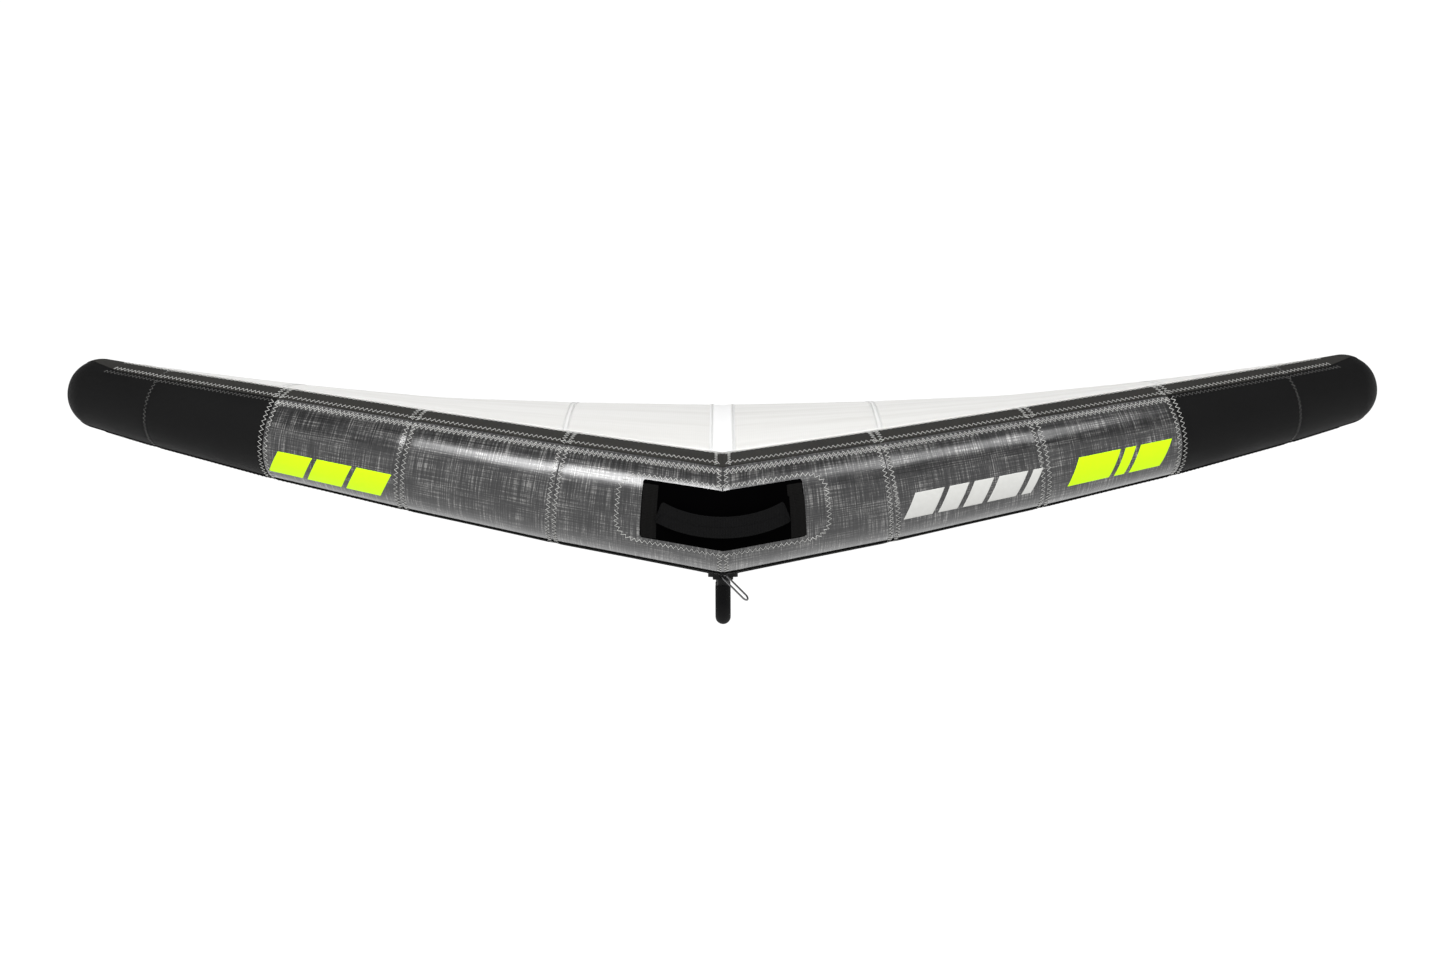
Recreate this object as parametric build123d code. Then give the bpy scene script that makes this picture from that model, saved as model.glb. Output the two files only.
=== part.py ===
"""Hand-held inflatable foil wing, about 4 square metres, as separate named pieces.

The wing is built about the middle of its leading edge: X to the rider's right as seen from
the front, Y back towards the trailing edge, Z up. Before writing, everything is moved so
that the origin is the centre of the front handle's grip.
"""
from build123d import *
import math
import os

# ---------------------------------------------------------------- driving dimensions, mm
# Leading edge tube: axis x, y, z and radius at the middle, at each panel seam and at the tip
STATIONS = [
    (0, 0, 0, 125),
    (327, 40, 56, 115.5),
    (640, 98, 114, 106),
    (927, 172, 170, 96),
    (1193, 287, 225, 83.5),
    (1350, 372, 260, 72.5),
]
SLEEVE_WALL = 1.2
BLADDER_WALL = 0.8
GAP = 0.3              # clearance between pieces that lie against each other

# Canopy ribs: place along the leading edge, trailing edge x, y, z, camber height
RIBS = [
    (0.0, 0, 1800, 88, 121),
    (1.0, 327, 1720, 110, 89),
    (2.0, 640, 1580, 150, 53),
    (3.0, 927, 1380, 205, 30),
    (4.0, 1193, 1130, 245, 18),
    (4.45, 1285, 1030, 252, 17),
    (5.0, 1400, 560, 266, 16),
]
CREST = 0.36           # share of the chord where the camber is highest
CANOPY_ANGLE = -3      # where the canopy is sewn on, degrees forward of the tube's top
CANOPY = 1.5
SPINE_HALF = 28
HEM_WIDTH, HEM_THICK = 16, 3
BATTEN_RIBS = (1.5, 2.5)

# Strips sewn along the leading edge: angles forward of its top
BAND_ANGLES = (-20, 38)
KEEL_ANGLES = (163, 190)
STRIP = 1.0

# Centre strut: axis y, z and radius
STRUT = [
    (40, -40, 66),
    (110, -46, 70),
    (230, -55, 75),
    (480, -55, 73),
    (760, -20, 68),
    (1090, 15, 60),
    (1400, 38, 50),
    (1720, 50, 38),
]

# Rigid handles under the strut: middle y, distance between the legs
FRONT_HANDLE = (345, 160)
REAR_HANDLE = (925, 230)
PLATE_WIDTH, PLATE_THICK, PLATE_MARGIN = 64, 7, 30
FOOT = (44, 36, 6)
NECK_R, NECK_LENGTH = 13, 13
CORE_R, GRIP_R, GRIP_DROP = 10, 16.5, 95
BEND_R = 32
SCREW_X, SCREW_R, SCREW_HEAD_R, SCREW_HEAD, SCREW_LENGTH = 15, 2.5, 4.8, 2.6, 11
PATCH_HALF_ANGLE = 50

# Webbing handle in the middle of the leading edge
RECESS_HALF, RECESS_ANGLES, RECESS_PAD = 157, (67.5, 126), 2.0
TAB_X, TAB_ANGLES, TAB_THICK = (126, 155), (70, 124), 2.5
BAND_END = (130, -113, 9)
BAND_MIDDLE = (0, -150, -23)
BAND_WIDTH, BAND_THICK = 44, 2.5

# Leash point under the front of the strut
LEASH_Y, LOOP_Z, LOOP_R, LOOP_WIDTH, WEBBING = 150, -131, 6, 8, 1.8
RING_LENGTH, RING_WIDTH, RING_WIRE, RING_TILT = 73, 20, 2, 25

# Inflation valve behind and below the leading edge
VALVE_PLACE, VALVE_ANGLE = 0.6, -120
PORT_R, PORT_TOP, SEAT_TOP, SEAT_THICK, VALVE_DEPTH = 10.5, 8, -6, 3, 24
VALVE_TUBE_R, COLLAR_R, FLANGE_R, CAP_R, HINGE_OUT = 14, 21, 26, 17, 21

# One-pump hose between leading edge and strut
HOSE_X, HOSE_Z, HOSE_R, HOSE_BORE = 106, -35, 6, 4
HOSE_ENDS = (150, 300)
ELBOW_Y = 330
CLAMP_Y = 222

# Zip for the strut's bladder, low on its left side
ZIP_ENDS, ZIP_ANGLE, ZIP_HALF_ANGLE = (1105, 1390), 62, 13
PULL_HEIGHT = 8.0      # of the pull's hinge above the strut's skin

RIGHT, LEFT = "right", "left"


# ---------------------------------------------------------------- leading edge geometry
def station_frames():
    """Centre, up, forward, normal and radius of the cut at every station."""
    centres = [Vector(x, y, z) for x, y, z, _ in STATIONS]
    runs = [(b - a).normalized() for a, b in zip(centres, centres[1:])]
    normals = [Vector(1, 0, 0)]
    normals += [(a + b).normalized() for a, b in zip(runs, runs[1:])]
    normals.append(runs[-1])
    frames = []
    for centre, normal, station in zip(centres, normals, STATIONS):
        up = (Vector(0, 0, 1) - normal * normal.Z).normalized()
        frames.append((centre, up, normal.cross(up), normal, station[3]))
    return frames


FRAMES = station_frames()


def blend(a, b, share):
    return a * (1 - share) + b * share


def skin(place, angle, stand_off=0.0):
    """Point on the tube's skin: place counts stations, angle runs forward from the top."""
    first = min(int(place), len(FRAMES) - 2)
    turn = math.radians(angle)
    ends = []
    for centre, up, forward, _, radius in FRAMES[first:first + 2]:
        ends.append(centre + (up * math.cos(turn) + forward * math.sin(turn)) * (radius + stand_off))
    return blend(ends[0], ends[1], place - first)


def circle_at(station, stand_off):
    """Round cut through the tube, as four quarter arcs."""
    arcs = []
    for start in (0, 90, 180, 270):
        ends = [skin(station, start + turn, stand_off) for turn in (0, 45, 90)]
        arcs.extend(ThreePointArc(*ends).edges())
    return Wire(arcs)


def tube_run(station, stand_off):
    """One straight tapered run of the tube, from a station to the next."""
    rings = [circle_at(station, stand_off), circle_at(station + 1, stand_off)]
    return Solid.make_loft(rings, ruled=True)


def tip_dome(stand_off):
    centre, up, _, normal, radius = FRAMES[-1]
    plane = Plane(origin=centre, x_dir=up, z_dir=normal)
    ball = plane.location * Sphere(radius + stand_off)
    return split(ball, bisect_by=plane, keep=Keep.TOP)


def sector(point_at, angles, inner, outer):
    """Closed outline of a bent strip's cross-section."""
    start, end = angles
    middle = (start + end) / 2
    outside = ThreePointArc(point_at(start, outer), point_at(middle, outer), point_at(end, outer))
    inside = ThreePointArc(point_at(end, inner), point_at(middle, inner), point_at(start, inner))
    closing = [Line(outside @ 1, inside @ 0), Line(inside @ 1, outside @ 0)]
    return Wire([*outside.edges(), *closing[0].edges(), *inside.edges(), *closing[1].edges()])


def edge_strip(last_station, angles, inner, outer):
    """Strip sewn along the tube from the middle to a station, right half."""
    pieces = []
    for station in range(last_station):
        outlines = []
        for place in (station, station + 1):
            centre, up, forward, _, radius = FRAMES[place]

            def point_at(angle, off, centre=centre, up=up, forward=forward, radius=radius):
                turn = math.radians(angle)
                return centre + (up * math.cos(turn) + forward * math.sin(turn)) * (radius + off)

            outlines.append(sector(point_at, angles, inner, outer))
        pieces.append(Solid.make_loft(outlines, ruled=True))
    return fuse(pieces)


def fuse(pieces):
    whole = pieces[0]
    for piece in pieces[1:]:
        whole = whole + piece
    return whole


def mirrored(shape):
    return mirror(shape, about=Plane.YZ)


def both_sides(shape):
    return shape + mirrored(shape)


def clear_of_edge(stand_off):
    """Solid to cut away, so that a piece stays off the leading edge's middle runs."""
    return both_sides(tube_run(0, stand_off))


# ---------------------------------------------------------------- leading edge pieces
def sleeve_panel(station):
    """Sewn laminate or cloth panel of the tube between two seams."""
    outer = tube_run(station, 0)
    inner = tube_run(station, -SLEEVE_WALL)
    if station == len(STATIONS) - 2:
        outer = outer + tip_dome(0)
        inner = inner + tip_dome(-SLEEVE_WALL)
    return outer - inner


def edge_bladder():
    outer_off = -SLEEVE_WALL - GAP
    inner_off = outer_off - BLADDER_WALL
    shells = [tube_run(i, outer_off) - tube_run(i, inner_off) for i in range(len(STATIONS) - 1)]
    shells.append(tip_dome(outer_off) - tip_dome(inner_off))
    half = fuse(shells)
    return both_sides(half)


def slab_between(x_low, x_high):
    """Wide box used to keep only what lies between two values of x."""
    return Pos((x_low + x_high) / 2, 0, 0) * Box(x_high - x_low, 600, 600)


# ---------------------------------------------------------------- canopy geometry
def camber(share):
    """Height of the camber line, 1 at the crest and 0 at both ends of the chord."""
    if share < CREST:
        return (2 * CREST * share - share ** 2) / CREST ** 2
    return (1 - 2 * CREST + 2 * CREST * share - share ** 2) / (1 - CREST) ** 2


def rib_point(place, share, drop=0.0):
    """Point of the canopy's top at a place along the span and a share of the chord."""
    index = 0
    while index < len(RIBS) - 2 and RIBS[index + 1][0] < place:
        index += 1
    ends = []
    for rib_place, x, y, z, height in RIBS[index:index + 2]:
        front = skin(rib_place, CANOPY_ANGLE, GAP + STRIP + GAP + CANOPY)
        lift = Vector(0, 0, height * camber(share) - drop)
        ends.append(blend(front, Vector(x, y, z), share) + lift)
    low, high = RIBS[index][0], RIBS[index + 1][0]
    return blend(ends[0], ends[1], (place - low) / (high - low))


def rib_outline(place, shares, top, bottom):
    """Closed outline of a layer along a rib, between two depths below the canopy's top."""
    upper = Spline(*[rib_point(place, share, top) for share in shares])
    lower = Spline(*[rib_point(place, share, bottom) for share in reversed(shares)])
    closing = [Line(upper @ 1, lower @ 0), Line(lower @ 1, upper @ 0)]
    return Wire([*upper.edges(), *closing[0].edges(), *lower.edges(), *closing[1].edges()])


FULL_CHORD = (0, 0.06, 0.15, 0.28, 0.42, 0.56, 0.7, 0.85, 1)
BATTEN_CHORD = (0.8, 0.85, 0.9, 0.95, 0.985)


def canopy_layer(places, shares=FULL_CHORD, top=0.0, bottom=CANOPY):
    outlines = [rib_outline(place, shares, top, bottom) for place in places]
    runs = [Solid.make_loft(pair, ruled=True) for pair in zip(outlines, outlines[1:])]
    return fuse(runs)


def spine_place():
    return SPINE_HALF / STATIONS[1][0]


def hem():
    """Folded tape round the trailing edge and the wing tip, right half."""
    places = [spine_place()] + [rib[0] for rib in RIBS[1:]]
    corners = [rib_point(place, 1) for place in places]
    sides = [(b - a) for a, b in zip(corners, corners[1:])]
    outward = [Vector(-side.Y, side.X, 0).normalized() for side in sides]
    turned = [outward[0]] + [(a + b).normalized() for a, b in zip(outward, outward[1:])] + [outward[-1]]
    outlines = []
    for corner, out in zip(corners, turned):
        half = Vector(0, 0, HEM_THICK / 2)
        middle = corner - Vector(0, 0, CANOPY / 2) + out * GAP
        edge = middle + out * HEM_WIDTH
        outlines.append(Wire.make_polygon([middle + half, edge + half, edge - half, middle - half]))
    return fuse([Solid.make_loft(pair, ruled=True) for pair in zip(outlines, outlines[1:])])


def battens(half_width, top, bottom):
    """Pocket or batten layer under the canopy near the trailing edge, right half."""
    pieces = []
    for place in BATTEN_RIBS:
        spread = half_width / (STATIONS[int(place) + 1][0] - STATIONS[int(place)][0])
        pieces.append(canopy_layer((place - spread, place + spread), BATTEN_CHORD, top, bottom))
    return Compound(children=pieces)


# ---------------------------------------------------------------- strut geometry
def strut_at(y):
    """Axis height and radius of the strut at a distance back."""
    for (y0, z0, r0), (y1, z1, r1) in zip(STRUT, STRUT[1:]):
        if y <= y1:
            share = (y - y0) / (y1 - y0)
            return z0 + (z1 - z0) * share, r0 + (r1 - r0) * share
    return STRUT[-1][1:]


def strut_skin(y, angle, stand_off=0.0):
    """Point on the strut's skin, angle measured from its underside towards the left."""
    z, radius = strut_at(y)
    turn = math.radians(angle)
    return Vector(-math.sin(turn) * (radius + stand_off), y, z - math.cos(turn) * (radius + stand_off))


def strut_tube(stand_off, end_trim=0.0):
    rings = []
    for y, z, radius in STRUT:
        back = y - end_trim if y == STRUT[-1][0] else y
        plane = Plane(origin=(0, back, z), x_dir=(0, 0, 1), z_dir=(0, 1, 0))
        rings.append(Wire.make_circle(radius + stand_off, plane))
    return Solid.make_loft(rings, ruled=True)


def strut_strip(y_ends, angles, inner, outer):
    outlines = []
    for y in y_ends:
        outlines.append(sector(lambda angle, off, y=y: strut_skin(y, angle, off), angles, inner, outer))
    return Solid.make_loft(outlines, ruled=True)


EDGE_OFF = GAP + STRIP + GAP


def strut_sleeve():
    return strut_tube(0) - strut_tube(-SLEEVE_WALL) - clear_of_edge(EDGE_OFF)


def strut_bladder():
    outer = strut_tube(-SLEEVE_WALL - GAP, end_trim=1) - clear_of_edge(EDGE_OFF + 1)
    inner = strut_tube(-SLEEVE_WALL - GAP - BLADDER_WALL, end_trim=2)
    return outer - (inner - clear_of_edge(EDGE_OFF + 1 + BLADDER_WALL))


def strut_tail():
    y, z, radius = STRUT[-1]
    plane = Plane(origin=(0, y + GAP, z), x_dir=(0, 0, 1), z_dir=(0, 1, 0))
    cap = plane.location * (Sphere(radius) - Sphere(radius - 2))
    return split(cap, bisect_by=plane, keep=Keep.TOP)


def spine_web():
    """Upright cloth wall that ties the canopy's spine to the strut."""
    top = Spline(*[rib_point(0, share, CANOPY + 3 * GAP) for share in FULL_CHORD[:-1]])
    low_back = Vector(0, (top @ 1).Y, 0)
    low_front = Vector(0, (top @ 0).Y, 0)
    sides = [Line(top @ 1, low_back), Line(low_back, low_front), Line(low_front, top @ 0)]
    outline = Wire([*top.edges(), *[edge for side in sides for edge in side.edges()]])
    wall = extrude(Face(outline), amount=1, dir=(1, 0, 0), both=True)
    return wall - strut_tube(GAP) - clear_of_edge(EDGE_OFF)


# ---------------------------------------------------------------- rigid handles
def handle_places(spacing):
    return [(x, y) for y in (-spacing / 2, spacing / 2) for x in (-SCREW_X, SCREW_X)]


def screw():
    head = Solid.make_cone(SCREW_HEAD_R, SCREW_R, SCREW_HEAD)
    shank = Pos(0, 0, SCREW_LENGTH / 2) * Cylinder(SCREW_R, SCREW_LENGTH)
    socket = extrude(RegularPolygon(1.9, 6), amount=1.8)
    return head + shank - socket


def u_path(spacing, top):
    """Centre line of a handle: down the front leg, back along the grip, up the rear leg."""
    half = spacing / 2
    points = [(0, -half, top), (0, -half, -GRIP_DROP), (0, half, -GRIP_DROP), (0, half, top)]
    return FilletPolyline(*points, radius=BEND_R)


def round_bar(path, radius):
    start = Plane(origin=path @ 0, z_dir=path % 0)
    return sweep(start * Circle(radius), path=path)


def handle_frame(spacing):
    width, length, thick = FOOT
    foot_low = -PLATE_THICK - GAP - thick
    body = round_bar(u_path(spacing, foot_low), CORE_R)
    for y in (-spacing / 2, spacing / 2):
        foot = Pos(0, y, foot_low + thick / 2) * Box(width, length, thick)
        foot = fillet(foot.edges().filter_by(Axis.Z), 8)
        neck = Pos(0, y, foot_low - NECK_LENGTH / 2) * Cylinder(NECK_R, NECK_LENGTH)
        body = body + foot + neck
    for x, y in handle_places(spacing):
        sink = Solid.make_cone(SCREW_HEAD_R + 0.2, SCREW_R + 0.2, SCREW_HEAD)
        hole = Pos(0, 0, thick / 2) * Cylinder(SCREW_R + 0.2, thick)
        body = body - Pos(x, y, foot_low) * (sink + hole)
    return body


def handle_grip(spacing):
    top = -PLATE_THICK - GAP - FOOT[2] - NECK_LENGTH - GAP
    path = u_path(spacing, top)
    return round_bar(path, GRIP_R) - round_bar(path, CORE_R + GAP)


def handle_plate(spacing):
    length = spacing + 2 * PLATE_MARGIN
    top = 14
    plate = Pos(0, 0, (top - PLATE_THICK) / 2) * Box(PLATE_WIDTH, length, top + PLATE_THICK)
    plate = fillet(plate.edges().filter_by(Axis.Z), 14)
    for x, y in handle_places(spacing):
        depth = SCREW_LENGTH - FOOT[2] - GAP + 0.5
        plate = plate - Pos(x, y, -PLATE_THICK + depth / 2) * Cylinder(SCREW_R + 0.1, depth)
    return plate


def handle_screws(spacing):
    low = -PLATE_THICK - GAP - FOOT[2]
    return Compound(children=[Pos(x, y, low) * screw() for x, y in handle_places(spacing)])


def handle_location(middle_y):
    """Where a handle meets the strut: on its underside, level with it."""
    ahead, behind = strut_skin(middle_y - 50, 0), strut_skin(middle_y + 50, 0)
    slope = math.degrees(math.atan2(behind.Z - ahead.Z, 100))
    touch = strut_skin(middle_y, 0, GAP + STRIP + GAP)
    return Location((0, touch.Y, touch.Z), (slope, 0, 0))


def rigid_handle(middle_y, spacing):
    spot = handle_location(middle_y)
    half = spacing / 2 + PLATE_MARGIN
    patch_angles = (-PATCH_HALF_ANGLE, PATCH_HALF_ANGLE)
    return {
        "plate": spot * handle_plate(spacing) - strut_tube(GAP + STRIP + GAP),
        "frame": spot * handle_frame(spacing),
        "grip": spot * handle_grip(spacing),
        "screws": spot * handle_screws(spacing),
        "patch": strut_strip((middle_y - half - 3, middle_y + half + 3), patch_angles, GAP, GAP + STRIP),
    }


# ---------------------------------------------------------------- leading edge handle
def recess_patch():
    strip = both_sides(edge_strip(1, RECESS_ANGLES, GAP, GAP + RECESS_PAD))
    return strip & slab_between(-RECESS_HALF, RECESS_HALF)


def recess_tabs():
    low = GAP + RECESS_PAD + GAP
    strip = edge_strip(1, TAB_ANGLES, low, low + TAB_THICK)
    tab = strip & slab_between(*TAB_X)
    return Compound(children=[tab, mirrored(tab)])


def webbing_band():
    """Slack webbing that the hand slips behind, sewn to the tabs at both ends."""
    end_x, end_y, end_z = BAND_END
    path = ThreePointArc((-end_x, end_y, end_z), BAND_MIDDLE, BAND_END)
    start = Plane(origin=path @ 0, x_dir=(0, 0, 1), z_dir=path % 0)
    return sweep(start * Rectangle(BAND_WIDTH, BAND_THICK), path=path)


# ---------------------------------------------------------------- leash point
def leash_loop():
    across = Plane(origin=(0, LEASH_Y, LOOP_Z), x_dir=(1, 0, 0), z_dir=(0, -1, 0))
    ring = across * (Circle(LOOP_R + WEBBING) - Circle(LOOP_R))
    loop = extrude(ring, amount=LOOP_WIDTH / 2, both=True)
    foot = strut_strip((LEASH_Y - 24, LEASH_Y + 24), (-12, 12), GAP, GAP + WEBBING)
    return loop + foot - strut_tube(GAP)


def leash_ring():
    """Long oval ring of round wire that hangs in the webbing loop, leaning to the right."""
    straight = RING_LENGTH - RING_WIDTH
    lean = Vector(1, 0, -1).normalized()
    sideways = Vector(1, 0, 1).normalized() * math.sin(math.radians(RING_TILT))
    across = sideways + Vector(0, 1, 0) * math.cos(math.radians(RING_TILT))
    hang = Vector(0, LEASH_Y, LOOP_Z)
    plane = Plane(origin=hang + lean * (RING_LENGTH / 2), x_dir=lean, z_dir=lean.cross(across))
    outline = plane * SlotCenterToCenter(straight, RING_WIDTH)
    path = outline.faces()[0].outer_wire()
    start = Plane(origin=path @ 0, z_dir=path % 0)
    return sweep(start * Circle(RING_WIRE), path=path)


# ---------------------------------------------------------------- inflation valve
def valve_plane():
    """Frame of the valve: origin on the skin, Z outward, X along the tube."""
    foot = skin(VALVE_PLACE, VALVE_ANGLE)
    outward = (skin(VALVE_PLACE, VALVE_ANGLE, 50) - foot).normalized()
    along = skin(1, VALVE_ANGLE) - skin(0, VALVE_ANGLE)
    return Plane(origin=foot, x_dir=along - outward * along.dot(outward), z_dir=outward)


def disc(radius, low, high):
    return Pos(0, 0, (low + high) / 2) * Cylinder(radius, high - low)


def valve_body():
    seat_low = SEAT_TOP - SEAT_THICK
    tube = disc(VALVE_TUBE_R, -VALVE_DEPTH, PORT_TOP)
    collar = disc(COLLAR_R, 1, 5)
    flange = disc(FLANGE_R, -9.5, -7.5)
    ears = [Pos(x, HINGE_OUT, PORT_TOP) * Box(4, 7, 8) for x in (-7, 7)]
    bores = disc(PORT_R, SEAT_TOP, PORT_TOP) + disc(7.5, seat_low, SEAT_TOP)
    bores = bores + disc(11.5, -VALVE_DEPTH + 2, seat_low)
    windows = fuse([Rot(0, 0, 60 * i) * Pos(7, 0, -VALVE_DEPTH + 1) * Cylinder(2.5, 2) for i in range(6)])
    pin_hole = Pos(0, HINGE_OUT, PORT_TOP + 1) * Rot(0, 90, 0) * Cylinder(1.1, 30)
    return fuse([tube, collar, flange, *ears]) - bores - windows - pin_hole


def valve_poppet():
    top = SEAT_TOP - SEAT_THICK - GAP
    return disc(10, top - 2.2, top) + disc(3, top - 5, top - 2.2)


def valve_spring():
    """Coil spring as a short sleeve of its outer size."""
    low = -VALVE_DEPTH + 2
    top = SEAT_TOP - SEAT_THICK - GAP - 2.2
    return disc(5, low + GAP, top - GAP) - disc(3.6, low, top)


def valve_cap():
    lid = disc(CAP_R, PORT_TOP + GAP, PORT_TOP + 4)
    skirt = disc(CAP_R - 0.5, 5 + GAP, PORT_TOP + GAP) - disc(VALVE_TUBE_R + 0.4, 5, PORT_TOP + 1)
    skirt = skirt - Pos(0, 6 + CAP_R, PORT_TOP) * Box(3 * CAP_R, 2 * CAP_R, 12)
    arm = Pos(0, HINGE_OUT - 4, PORT_TOP + 2.15) * Box(9, 9, 3.7)
    knuckle = Pos(0, HINGE_OUT, PORT_TOP + 1) * Rot(0, 90, 0) * Cylinder(3, 9)
    lid = lid + skirt + arm + knuckle
    gutter = Pos(0, HINGE_OUT, PORT_TOP + 1) * Rot(0, 90, 0) * Cylinder(1.3, 9.2)
    ear_room = [Pos(x, HINGE_OUT, PORT_TOP) * Box(4.8, 7.8, 14) for x in (-7, 7)]
    return lid - gutter - ear_room


def valve_pin():
    return Pos(0, HINGE_OUT, PORT_TOP + 1) * Rot(0, 90, 0) * Cylinder(1, 17.6)


# ---------------------------------------------------------------- one-pump hose
def along_y(x, y_low, y_high, z, radius):
    return Pos(x, (y_low + y_high) / 2, z) * Rot(90, 0, 0) * Cylinder(radius, y_high - y_low)


def hose():
    return along_y(HOSE_X, *HOSE_ENDS, HOSE_Z, HOSE_R) - along_y(HOSE_X, *HOSE_ENDS, HOSE_Z, HOSE_BORE)


def edge_fitting():
    """Straight fitting from the leading edge's bladder into the hose."""
    saddle = along_y(HOSE_X, 100, 134, HOSE_Z, 17) - clear_of_edge(GAP)
    nipple = along_y(HOSE_X, 130, 164, HOSE_Z, HOSE_BORE - 0.2)
    collar = along_y(HOSE_X, 130, HOSE_ENDS[0] - GAP, HOSE_Z, 8)
    return saddle + nipple + collar


def strut_elbow():
    """Elbow on the strut's right side that turns forward into the hose."""
    base = Pos(81, ELBOW_Y, HOSE_Z) * Rot(0, 90, 0) * Cylinder(15, 30)
    arm = Pos(90, ELBOW_Y, HOSE_Z) * Rot(0, 90, 0) * Cylinder(8, 32)
    knee = Pos(HOSE_X, ELBOW_Y, HOSE_Z) * Sphere(8)
    leg = along_y(HOSE_X, HOSE_ENDS[1] + GAP, ELBOW_Y, HOSE_Z, 8)
    nipple = along_y(HOSE_X, HOSE_ENDS[1] - 14, ELBOW_Y, HOSE_Z, HOSE_BORE - 0.2)
    base = base & (Pos(75, ELBOW_Y, HOSE_Z) * Box(14, 40, 40))
    return base + arm + knee + leg + nipple - strut_tube(GAP)


def clamp_body():
    block = Pos(HOSE_X, CLAMP_Y, HOSE_Z) * Box(20, 22, 20)
    block = fillet(block.edges().filter_by(Axis.Y), 5)
    hole = along_y(HOSE_X, CLAMP_Y - 12, CLAMP_Y + 12, HOSE_Z, HOSE_R + GAP)
    ears = [Pos(HOSE_X + x, CLAMP_Y + 7, HOSE_Z + 13) * Box(4, 8, 8) for x in (-8, 8)]
    pin_hole = Pos(HOSE_X, CLAMP_Y + 7, HOSE_Z + 14) * Rot(0, 90, 0) * Cylinder(1.1, 30)
    return fuse([block, *ears]) - hole - pin_hole


def clamp_lever():
    """Lever pressed down on the hose clamp, shown open along the hose."""
    knuckle = Pos(HOSE_X, CLAMP_Y + 7, HOSE_Z + 14) * Rot(0, 90, 0) * Cylinder(3, 11)
    arm = Pos(HOSE_X, CLAMP_Y - 8, HOSE_Z + 15.2) * Box(10, 30, 3.2)
    arm = arm & (Pos(HOSE_X, CLAMP_Y - 7, HOSE_Z + 15) * Box(10, 30, 6))
    bore = Pos(HOSE_X, CLAMP_Y + 7, HOSE_Z + 14) * Rot(0, 90, 0) * Cylinder(1.3, 12)
    return knuckle + arm - bore


def clamp_pin():
    return Pos(HOSE_X, CLAMP_Y + 7, HOSE_Z + 14) * Rot(0, 90, 0) * Cylinder(1, 19.6)


# ---------------------------------------------------------------- strut zip
def zip_tape():
    angles = (ZIP_ANGLE - ZIP_HALF_ANGLE, ZIP_ANGLE + ZIP_HALF_ANGLE)
    return strut_strip(ZIP_ENDS, angles, GAP, GAP + STRIP)


def zip_teeth():
    return strut_strip((ZIP_ENDS[0] + 10, ZIP_ENDS[1] - 6), (ZIP_ANGLE - 2, ZIP_ANGLE + 2), 1.5, 3)


def zip_plane():
    """Frame of the zip at its closed end: Z outward, X along the zip."""
    start = strut_skin(ZIP_ENDS[0] + 22, ZIP_ANGLE)
    outward = (strut_skin(ZIP_ENDS[0] + 22, ZIP_ANGLE, 50) - start).normalized()
    along = strut_skin(ZIP_ENDS[1], ZIP_ANGLE) - start
    return Plane(origin=start, x_dir=along - outward * along.dot(outward), z_dir=outward)


def zip_slider():
    body = Pos(0, 0, 5.2) * Box(14, 9, 3)
    body = fillet(body.edges().filter_by(Axis.Z), 3)
    bridge = Pos(0, 0, 8.8) * Box(10, 2.4, 4.2) - Pos(0, 0, PULL_HEIGHT) * Box(6, 3, 2.6)
    return body + bridge


def zip_pull():
    """Pull tab whose cross bar is caught under the slider's bridge."""
    plate = Pos(12.5, 0, PULL_HEIGHT) * Box(27, 8, 1.4)
    plate = fillet(plate.edges().filter_by(Axis.Z), 0.9)
    window = Pos(3.7, 0, PULL_HEIGHT) * Box(5.4, 4.4, 3)
    tail = Pos(22, 0, PULL_HEIGHT) * Cylinder(1.8, 3)
    return plate - window - tail


# ---------------------------------------------------------------- assembly
PANELS = ["inner", "mid", "outer", "shoulder", "tip"]


def leading_edge_nodes():
    nodes = {}
    place = valve_plane().location
    for station, name in enumerate(PANELS):
        panel = sleeve_panel(station)
        opened = panel
        if station == 0:
            opened = panel - place * disc(VALVE_TUBE_R + 1, -12, 12)
        nodes[f"edge_panel_{name}_{RIGHT}"] = opened
        nodes[f"edge_panel_{name}_{LEFT}"] = mirrored(panel)
    nodes["edge_bladder"] = edge_bladder() - place * disc(VALVE_TUBE_R + 1, -12, 12)
    nodes["edge_top_band"] = both_sides(edge_strip(5, BAND_ANGLES, GAP, GAP + STRIP))
    nodes["edge_keel_strip"] = both_sides(edge_strip(5, KEEL_ANGLES, GAP, GAP + STRIP))
    nodes["edge_handle_patch"] = recess_patch()
    nodes["edge_handle_tabs"] = recess_tabs()
    nodes["edge_handle_webbing"] = webbing_band()
    return nodes


def canopy_nodes():
    pocket_top = CANOPY + GAP + 2 + 2 * GAP
    halves = {
        "canopy_inner": canopy_layer((spine_place(), 1)),
        "canopy_mid": canopy_layer((1, 2, 3)),
        "canopy_outer": canopy_layer((3, 4, 4.45, 5)),
        "trailing_hem": hem(),
        "batten": battens(6, CANOPY + GAP, CANOPY + GAP + 2),
        "batten_pocket": battens(15, pocket_top, pocket_top + STRIP),
    }
    nodes = {"canopy_spine": both_sides(canopy_layer((0, spine_place())))}
    for name, shape in halves.items():
        nodes[f"{name}_{RIGHT}"] = shape
        nodes[f"{name}_{LEFT}"] = mirrored(shape)
    return nodes


def strut_nodes():
    hole = Pos(75, ELBOW_Y, HOSE_Z) * Rot(0, 90, 0) * Cylinder(6, 30)
    return {
        "strut_sleeve": strut_sleeve(),
        "strut_bladder": strut_bladder() - hole,
        "strut_tail_cap": strut_tail(),
        "spine_web": spine_web(),
        "strut_zip_tape": zip_tape(),
        "strut_zip_teeth": zip_teeth(),
        "zip_slider": zip_plane().location * zip_slider(),
        "zip_pull": zip_plane().location * zip_pull(),
    }


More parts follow.
